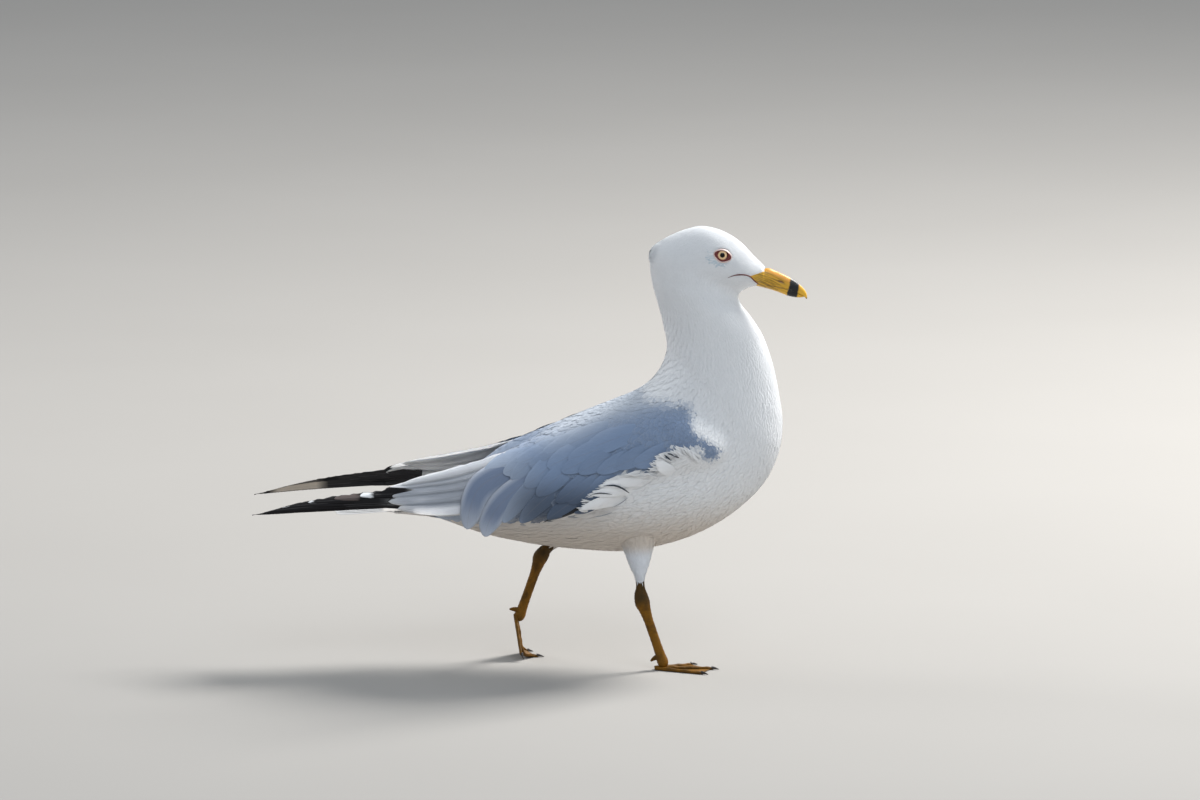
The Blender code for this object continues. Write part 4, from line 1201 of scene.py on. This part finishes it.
def make_bill():
    """Each half is an arch over its cutting edge: y = width * cos, z = edge + rise * sin^0.8,
    with the nostril pressed in, a sharp rim along the mouth and a hook at the tip."""
    t = np.concatenate([np.linspace(0, 9, 76), np.linspace(9, 10, 16)[1:]])
    rows = spline(BILL, t)
    for name, upper in (("bill_top", True), ("bill_bottom", False)):
        keep = t <= (10 if upper else 8.9)
        x, crest, edge, low, width = (c[:, None] for c in rows[keep].T)
        hook = ease(36, 39.6, x) * 0.35 if upper else 0
        shut = np.sqrt(np.clip(1.0002 - ((x + 14) / (53.65 if upper else 50.6)) ** 26, 0, 1))
        arch = np.linspace(0, math.pi, 41)[None]
        floor_ = np.linspace(math.pi, TURN, 14)[None, 1:-1]
        way = 1 if upper else -1
        rim = edge + 0.12 * way - hook
        rise = ((crest if upper else low) - rim) * shut
        y = width * shut * np.cos(arch)
        z = rim + rise * np.sin(arch) ** 0.8
        inner = width * shut * np.cos(floor_)
        vault = rim + way * 0.9 * shut * np.minimum(np.abs(np.sin(floor_)), 1) * (width > 1)
        full_x = np.broadcast_to(x, (len(x), arch.size + floor_.size))
        y = np.concatenate([y, inner], 1)
        z = np.concatenate([z, vault + 0 * inner], 1)
        slit = 0
        if upper:
            past = full_x - 15.4
            slit = ease(1.25, 0.55, np.hypot(past / 3.0, (z - 3.3 - 0.10 * past) / 0.62))
            groove = ease(2.2, 0.6, np.hypot((full_x - 12) / 5.5, (z - 3.4) / 1.1))
            y = y * (1 - 0.16 * slit - 0.045 * groove)
        ridge = 1 + 0.02 * np.cos(full_x * 1.3) * ease(10, 0, full_x)
        rings = bill_place(full_x, y * ridge, z)
        shell = Shell(rings, along=full_x, high=z, slit=slit)
        node = "bill_upper" if upper else "bill_lower"
        build(name, [shell], FINISHES["bill"], [node])


def make_eye(side, label):
    """A sphere round the outward axis, with a low clear swell over the iris."""
    out = unit(np.array((0.12, side, 0.16)))
    fore = unit(np.cross((0, 0, side), out))
    fore = fore * np.sign(fore[0])
    up = np.cross(out, fore)
    up = unit(up * np.sign(up[2]))
    angle = np.linspace(0.02, math.pi - 0.02, 60)[:, None]
    turn = circle(64)[None]
    radius = EYE_RADIUS + 0.35 * ease(0.75, 0.2, angle)
    direction = (np.cos(angle)[..., None] * out + (np.sin(angle) * np.cos(turn))[..., None] * fore
                 + (np.sin(angle) * np.sin(turn))[..., None] * up)
    centre = EYE * (1, side, 1)
    shell = Shell(centre + direction * radius[..., None], off_axis=EYE_RADIUS * angle)
    build(f"eyeball_{label}", [shell], FINISHES["eye"], [f"eye_{label}"])


def lid_ring(side, inner, outer, depth, shade, points):
    """A flat soft ring round the eye between two ellipses given as half sizes, each drawn to
    points at its corners by its share; it rides on the eyeball inside, on the face outside."""
    turn = (np.arange(97) * TURN / 96)[:, None]
    f, under = folded(10)
    flat = np.cos(turn) ** 2 * np.abs(np.sin(turn)) * 1.3
    p = (inner[0] + (outer[0] - inner[0]) * f) * np.cos(turn)
    near, far = inner[1] * (1 - points[0] * flat), outer[1] * (1 - points[1] * flat)
    q = (near * (1 - f) + far * f) * np.sin(turn)
    q = q + 0.7 * (1 - f) * (inner[0] < 5)
    tilt = math.radians(-17)
    x = LID_X + p * math.cos(tilt) - q * math.sin(tilt)
    z = LID_Z + p * math.sin(tilt) + q * math.cos(tilt)
    gap = np.hypot(x - EYE[0] - 0.6, z - EYE[2] - 0.8)
    ball = EYE[1] + np.sqrt(np.clip((EYE_RADIUS + 0.2) ** 2 - gap ** 2, 0.4, None))
    face = side_y(x, z) - 0.25
    wrinkle = 0.05 * np.sin(turn * 31 + f * 4)
    y = np.maximum(ball, face) + depth * np.sin(math.pi * f) ** 0.7 * (1 + wrinkle) - 0.9 * under
    return Shell(np.stack([x, side * y, z], -1), pigment=shade)


def make_eyelids(side, label):
    """Dark red skin that fills both corners of the eye, and a pale pink rim outside it."""
    shells = [lid_ring(side, (3.85, 3.70), (6.9, 4.5), 0.26, (0.135, 0.010, 0.007), (0, 0.42)),
              lid_ring(side, (6.65, 4.2), (7.4, 5.2), 0.30, (0.70, 0.545, 0.51), (0.46, 0.20))]
    build(f"eyelid_rim_{label}", shells, FINISHES["flesh"])


def make_gape(side, label):
    """The dark red edge of the mouth, tapering back into the cheek."""
    t = np.linspace(0, len(GAPE) - 1, 60)
    x, z = spline(GAPE, t).T
    share = t / t[-1]
    radius = 0.12 + 0.34 * ease(0, 0.35, share)
    stops = np.stack([x, side * (side_y(x, z) - 0.05), z], -1)
    along = unit(np.gradient(stops, axis=0))
    up = unit(np.cross(along, (0, 1, 0)))
    around = circle(12)[None, :, None]
    wide = np.array((0, side, 0))
    ring = stops[:, None] + (up[:, None] * np.cos(around)
                             + wide * np.sin(around) * 0.9) * radius[:, None, None]
    shell = Shell(ring, pigment=(0.13, 0.014, 0.012))
    build(f"mouth_corner_{label}", [shell], FINISHES["flesh"])


def make_bill_skin(side, label):
    """The wedge of yellow skin behind the bill: a patch between the feather edge of the cheek
    and of the chin that follows the face behind and dips into the bill in front."""
    s = np.linspace(0, 1, 48)[:, None]
    f, under = folded(18)
    upper = spline([(169.4, 306.0), (175.6, 307.4), (181.0, 308.6), (187.0, 307.2)], s[:, 0] * 3)
    lower = spline([(169.4, 305.6), (172.4, 302.4), (176.0, 298.7), (182.5, 297.0)], s[:, 0] * 3)
    x, z = (mix(lower[:, k:k + 1], upper[:, k:k + 1], f) for k in (0, 1))
    c, d = math.cos(BILL_DROOP), math.sin(BILL_DROOP)
    along = (x - BILL_BASE[0]) * c - (z - BILL_BASE[1]) * d
    high = (x - BILL_BASE[0]) * d + (z - BILL_BASE[1]) * c
    table = np.array(BILL)
    crest, edge, low, width = (np.interp(along, table[:, 0], table[:, k]) for k in (1, 2, 3, 4))
    rise = np.where(high > edge, crest - edge, low - edge)
    lean = np.clip((high - edge) / rise, 0, 0.999) ** 1.25
    horn = width * np.sqrt(1 - lean ** 2)
    face = side_y(x, z) - 0.1 - 4 * ease(179, 183, x)
    y = np.maximum(face, horn + 0.12) - 1.1 * ease(181.5, 185, x) - 0.8 * under
    shell = Shell(np.stack([x, side * y, z], -1), along=along, high=high, slit=0)
    build(f"bill_skin_{label}", [shell], FINISHES["bill"])


# ---------------------------------------------------------------- legs and feet
def foot_path(leg, distance):
    """The sole's line and slope: level on the floor, or steeply down and bent onto it."""
    foot_x, foot_z = leg["foot"]
    if foot_z < 10:
        return foot_x - 3.5 - FOOT_BACK + distance, 0 * distance, 0 * distance
    bend = 9.0
    sx, sz = math.cos(FOOT_SLOPE), -math.sin(FOOT_SLOPE)
    x0, z0 = foot_x - 3.2 - sx * FOOT_BACK, foot_z - sz * FOOT_BACK
    straight = (z0 - bend * (1 - math.cos(FOOT_SLOPE))) / math.sin(FOOT_SLOPE)
    first = np.minimum(distance, straight)
    turned = np.clip((distance - straight) / bend, 0, FOOT_SLOPE)
    left = FOOT_SLOPE - turned
    rest = np.maximum(distance - straight - bend * FOOT_SLOPE, 0)
    x = x0 + sx * first + bend * (math.sin(FOOT_SLOPE) - np.sin(left)) + rest
    z = z0 + sz * first + bend * (math.cos(FOOT_SLOPE) - np.cos(left))
    return x, z, left


def foot_point(leg, reach_, angle, height):
    """A place on the foot: reach from its joint, angle out from the middle toe, height."""
    x, z, slope = foot_path(leg, reach_ * np.cos(angle))
    y = leg["side"] * (LEG_SPREAD + reach_ * np.sin(angle))
    return np.stack([x + np.sin(slope) * height, y, z + np.cos(slope) * height], -1)


def toe_tube(leg, angle, reach_, swing, height):
    """Rings about a toe's middle line, which leaves the joint at angle: swing is sideways."""
    return foot_point(leg, np.hypot(reach_, swing), math.radians(angle) + np.arctan2(swing, reach_), height)


def make_toe(leg, angle, share, thick):
    """A toe: a tube along the sole whose radius swells at three joints, ridged by scales."""
    s = np.linspace(0, 1, 110)[:, None]
    reach_ = TOE_START + (FOOT_REACH * share - 4.4 - TOE_START) * s
    joints = sum(np.exp(-((s - c) * 16) ** 2) for c in (0.30, 0.62, 0.90))
    scale = np.abs(np.sin(reach_ * math.pi / 1.7)) ** 0.5
    radius = thick * (0.60 - 0.22 * s) * (1 + 0.16 * joints) * np.sqrt(1.001 - s ** 30)
    around = circle(20)[None]
    top = ease(-0.2, 0.6, np.sin(around))
    radius_ = radius * (1 + 0.05 * (scale - 0.6) * top)
    centre = radius * 0.98
    height = np.maximum(centre + radius_ * np.sin(around), 0.02)
    swing = radius_ * np.cos(around) * 1.05
    ridge = scale * top + (1 - top)
    return Shell(toe_tube(leg, angle, reach_, swing, height), darkening_and_shade=0.10 + 0.25 * joints, ridge=ridge)


def make_web(leg, low, high):
    """The web between two toes: a thin sheet with a scalloped front, sagging between them."""
    (a0, s0, _), (a1, s1, _) = low, high
    f = np.linspace(0, 1, 26)[None]
    g = np.linspace(0, 1, 40)[:, None]
    angle = np.radians(a0 + (a1 - a0) * f)
    edge = (FOOT_REACH * (s0 + (s1 - s0) * f) - 6.5) * (1 - 0.24 * 4 * f * (1 - f))
    reach_ = TOE_START + (edge - TOE_START) * g
    thin = 0.62 - 0.30 * np.sin(math.pi * f) * g
    crinkle = 0.10 * np.sin(reach_ * 1.9 + 2 * f) * np.sin(math.pi * f) * np.sin(math.pi * g)
    top = foot_point(leg, reach_, angle + 0 * reach_, thin + 0.35 + crinkle)
    sole = foot_point(leg, reach_, angle + 0 * reach_, 0.12 + 0 * reach_)
    ring = np.concatenate([top, sole[:, ::-1]], 1)
    return Shell(ring, darkening_and_shade=0.12, ridge=1)


def make_leg(label, leg):
    """Shin, knobbed heel and scaled shank as one tube, then toes, webs and the hind toe."""
    (hip_x, hip_z), (heel_x, heel_z) = leg["hip"], leg["heel"]
    foot_x, foot_z = leg["foot"]
    y = leg["side"] * LEG_SPREAD
    shin = [(0.50, 3.2, 2.8), (0.64, 3.3, 2.9), (0.80, 3.5, 3.0), (0.92, 5.0, 3.8)]
    bone = [(0.06, 5.8, 4.3), (0.16, 4.7, 3.4), (0.30, 3.7, 2.8), (0.45, 3.55, 2.6),
            (0.65, 3.5, 2.6), (0.82, 3.8, 2.8), (0.93, 4.3, 3.6), (0.99, 3.4, 3.2), (1.02, 1.6, 1.6)]
    stops = [(hip_x + (heel_x - hip_x) * s, y, hip_z + (heel_z - hip_z) * s, d, w) for s, d, w in shin]
    end_z = foot_z if foot_z > 10 else 3.0
    stops += [(heel_x + (foot_x - heel_x) * s, y, heel_z + (end_z - heel_z) * s, d, w)
              for s, d, w in bone]
    length = math.hypot(hip_x - heel_x, hip_z - heel_z) / 2 + math.hypot(foot_x - heel_x, foot_z - heel_z)
    count, around = 260, 40
    run = np.linspace(0, length, count)[:, None]
    angle = circle(around)[None]
    front = ease(0.1, 0.9, np.cos(angle))
    step = np.abs(np.sin(run * math.pi / 2.3)) ** 0.4
    swell = 1 + 0.035 * (step - 0.7) * front + 0.012 * np.sin(run * 2.2 + angle * 5)
    ridge = step * front + (1 - front)
    # Painted shade on the shin and heel where they hang under the belly, with a wet, dirty heel
    darkening_and_shade = 0.95 * ease(length * 0.40, length * 0.27, run)
    shells = [Shell(limb(stops, count, around, swell), darkening_and_shade=darkening_and_shade, ridge=ridge)]
    shells += [make_toe(leg, *toe) for toe in TOES]
    shells += [make_web(leg, low, high) for low, high in zip(TOES, TOES[1:])]
    along = unit(np.array((foot_x - heel_x, 0, foot_z - heel_z)))
    back = np.cross((0, 1, 0), along)
    back = back * -np.sign(back[0])
    root = np.array((foot_x, y - leg["side"], foot_z)) - along * 7.0 + back * 2.2
    hind = [(*(root + back * 7.0 * s + along * 1.6 * s * s), r, r * 0.8)
            for s, r in ((0, 2.0), (0.4, 1.9), (0.7, 1.4), (1.0, 0.6))]
    shells.append(Shell(limb(hind, 30, 16), darkening_and_shade=0.3, ridge=1))
    nodes = [f"leg_{label}", f"foot_{label}", f"hind_toe_{label}"]
    build(f"scaled_leg_{label}", shells, FINISHES["leg"], nodes)
    claws = []
    for angle, share, _ in TOES:
        s = np.linspace(0, 1, 24)[:, None]
        around = circle(16)[None]
        reach_ = FOOT_REACH * share - 6.0 + 6.0 * s
        radius = 1.25 * (1.0 - s) ** 0.7 + 0.10
        swing = radius * np.cos(around) * 0.8
        height = np.maximum(1.6 - 1.2 * s ** 2 + radius * np.sin(around), 0.04)
        claws.append(Shell(toe_tube(leg, angle, reach_, swing, height)))
    nodes = [f"claw_{toe}_{label}" for toe in ("inner", "middle", "outer")]
    build(f"claws_{label}", claws, FINISHES["claw"], nodes)


def make_thigh_coat(label, leg, seed):
    """White feathers down the thigh, in turns of a spiral, the last ones long, narrow and
    drawn to a ragged point over the shin."""
    rng = np.random.default_rng(seed)
    stops = thigh_stops(leg)
    last = len(stops) - 1
    count = 1500
    k = np.arange(count)
    t = 0.6 + (last - 0.75) * ((k + 0.5) / count) ** 0.62
    a = k * GOLDEN_ANGLE + rng.uniform(-0.2, 0.2, count)
    s = np.linspace(0, 1, 5)[None, :, None]
    b, low = (v[None, None] for v in vane_round(3))
    end = ease(3.0, last, t)
    length = (9.5 + 0.5 * end) * (1 + (0.2 + 0.6 * end) * rng.uniform(-1, 1, count))
    width = (3.6 - 1.6 * end) * rng.uniform(0.8, 1.2, count)
    path = np.concatenate([[0], np.cumsum(np.linalg.norm(np.diff(stops[:, :3], axis=0), axis=1))])
    root = np.interp(t, np.arange(last + 1), path)
    rise = rng.uniform(0, 2, count)
    root, length, width, turn, late, rise = (v[:, None, None] for v in (root, length, width, a, end, rise))
    run = root + s * length
    rows = spline(stops, np.interp(run, path, np.arange(last + 1)))
    axis = unit(stops[-1][:3] - stops[-2][:3])
    over = np.maximum(run - path[-1], 0)
    fore = unit(np.cross((0, 1, 0), axis))
    half = width / 2 * vane_outline(s)
    sweep = turn + b * half / np.maximum(rows[..., 3], 2.5)
    height = (0.16 + 0.5 * late) * s ** 2 * rise - 0.55 * (1 - s) ** 1.4 - low * 0.18 * (1 - 0.35 * s)
    taper = 1 - np.clip(over / 14, 0, 0.45)
    deep = (rows[..., 3] * taper + height) * np.cos(sweep)
    wide = (rows[..., 4] * taper + height) * np.sin(sweep)
    spoke = deep[..., None] * fore + wide[..., None] * np.array((0, 1, 0))
    place = rows[..., :3] + over[..., None] * axis + spoke
    # Painted shade: the thigh's top takes the belly's darker cream, reaching lower on the far (left) thigh
    # to dim it
    cream = 0.95 * ease(88, 101, place[..., 2:] + 5 + 5 * leg["side"])
    pigment = mix(WHITE * (0.93, 0.95, 0.99), CREAM_SHADE, cream)
    origin = np.stack([(a % TURN) / TURN * 0.99, t / (last + 1)], -1)
    shell = Shell(place, origin, PATCH, vane_chart(b, s), unit(spoke), pigment=pigment,
                  greyness=0, tone=rng.uniform(0, 1, count)[:, None, None])
    build(f"thigh_feathers_{label}", [shell], FINISHES["down"])


FINISHES = {
    "down": down_finish(), "skin": skin_finish(), "quill": quill_finish(),
    "sheer": quill_finish("pale_long_feathers", Subsurface_Weight=0.6, Subsurface_Radius=(1, 1, 1),
                          Subsurface_Scale=0.004),
    "bill": bill_finish(),
    "leg": leg_finish(), "claw": claw_finish(), "eye": eye_finish(), "flesh": flesh_finish(),
}


def sizes(*rows):
    """Length, width, sink and lift by section number, from rows (t, length, width, sink, lift)."""
    table = np.array(rows, float)

    def size(t, place):
        return [np.interp(t, table[:, 0], table[:, k]) for k in (1, 2, 3, 4)]
    return size


WHITE_SIZES = sizes((0, 8, 3.4, .4, .03), (3, 10, 3.8, .5, .05), (6, 15, 4.6, .8, .08),
                    (10, 13, 4.2, .8, .08), (14, 10, 3.8, .7, .06), (18, 6.5, 3.2, .55, .04),
                    (22, 5.0, 2.8, .45, .03), (25, 4.2, 2.4, .4, .03), (28, 3.2, 1.9, .35, .02),
                    (33, 2.2, 1.4, .3, .02))


# Stretches of the white coat: first and last section; stations along a feather, points across
# its top, thickness.
WHITE_COAT = [
    ("face", 27.5, LAST - 0.05, (5, 3, .13)), ("head", 23, 27.5, (5, 3, .15)),
    ("throat", 19, 23, (5, 3, .17)), ("neck", 15.5, 19, (5, 3, .18)),
    ("breast", 10.5, 15.5, (5, 3, .20)), ("belly", 1.6, 10.5, (6, 3, .20)),
]


def white_cell(t, a, place):
    """Square millimetres of coat for each white feather: 0.115 of its box, more on the body."""
    length, width = WHITE_SIZES(t, place)[:2]
    return length * width * (0.115 + 0.05 * ease(17, 12, t))


def mantle_sizes(t, place):
    """Grey feathers: smallest on the wing's front, longer to the rear."""
    front, back = ease(150, 95, place[..., 0]), ease(105, 20, place[..., 0])
    return (5 + 4.5 * front + 9 * back, 3.4 + 2.6 * front + 3.4 * back, 0.9 + 0 * front,
            0.05 + 0.05 * back)


def mantle_cell(t, a, place):
    """Square millimetres of coat for each grey feather: 0.13 of its box."""
    length, width = mantle_sizes(t, place)[:2]
    return length * width * 0.13


def white_place(t, a, place):
    """White feathers grow up to 1 mm inside the mantle's outline."""
    return polygon_depth(MANTLE, place[:, 0], place[:, 2]) < 1.0


def grey_place(t, a, place):
    """Grey feathers grow up to 5 mm outside the mantle's outline."""
    return polygon_depth(MANTLE, place[:, 0], place[:, 2]) > -5.0


def dress():
    """Everything on the bird, from the skin outwards."""
    make_skin()
    for seed, (name, start, end, fine) in enumerate(WHITE_COAT, 1):
        coat(f"{name}_feathers", seed, start, end, white_cell, WHITE_SIZES,
             white_place, fine)
    for side, label in SIDES:
        coat(f"mantle_feathers_{label}", 7, 4.5, 17, mantle_cell, mantle_sizes,
             lambda t, a, place: grey_place(t, a, place) & (place[:, 1] * side > 0), (6, 5, .22))
    make_tail()
    for side, label in SIDES:
        for make in (make_primaries, make_secondaries, make_tertials, make_coverts, make_flank,
                     make_eye, make_eyelids, make_gape, make_bill_skin):
            make(side, label)
    make_bill()
    for seed, (label, leg) in enumerate(LEGS.items()):
        make_leg(label, leg)
        make_thigh_coat(label, leg, 60 + seed)


dress()


# ---------------------------------------------------------------- stage
def facing(place, aim):
    """The turn that points an object's -Z from place to aim."""
    return (Vector(aim) - Vector(place)).to_track_quat("-Z", "Y").to_euler()


def disc(name, radius, finish):
    """A flat round floor at height 0."""
    sides = 96
    angle = circle(sides)
    points = np.stack([radius * np.cos(angle), radius * np.sin(angle), 0 * angle], -1)
    mesh = bpy.data.meshes.new(name)
    mesh.from_pydata(points.tolist(), [], [list(range(sides))])
    mesh.materials.append(finish)
    floor_ = add(name, mesh)


def lamp(name, place, aim, size, power, colour):
    """A square soft light at place, facing aim, both in metres."""
    data = bpy.data.lights.new(name, "AREA")
    data.size = size
    data.energy = power
    data.color = colour
    light = add(name, data)
    light.location = place
    light.rotation_euler = facing(place, aim)


disc("studio_floor", 14.0, floor_finish())
lamp("key", (1.9, 1.25, 2.3), (0, 0, 0.2), 1.0, 172, (1.0, 0.98, 0.95))
lamp("rear", (-2.4, 1.1, 1.5), (0, 0, 0.25), 1.2, 22, (1.0, 0.99, 0.98))
lamp("fill", (1.3, -2.8, 3.2), (0, 0, 0.2), 1.9, 46, (0.86, 0.93, 1.0))
world = bpy.data.worlds.new("studio")
world.use_nodes = True
sky = world.node_tree.nodes["Background"].inputs
sky["Color"].default_value = (0.85, 0.92, 1.0, 1)
sky["Strength"].default_value = 0.50
bpy.context.scene.world = world
bpy.context.scene.view_settings.view_transform = "Standard"

elevation = math.radians(10)
target = Vector((0.0539, 0.0, 0.2072))
lens = bpy.data.cameras.new("camera")
lens.lens = 350
lens.sensor_width = 36
lens.clip_end = 60
camera = add("camera", lens)
camera.location = target + 9.0 * Vector((0, -math.cos(elevation), math.sin(elevation)))
camera.rotation_euler = facing(camera.location, target)
bpy.context.scene.camera = camera
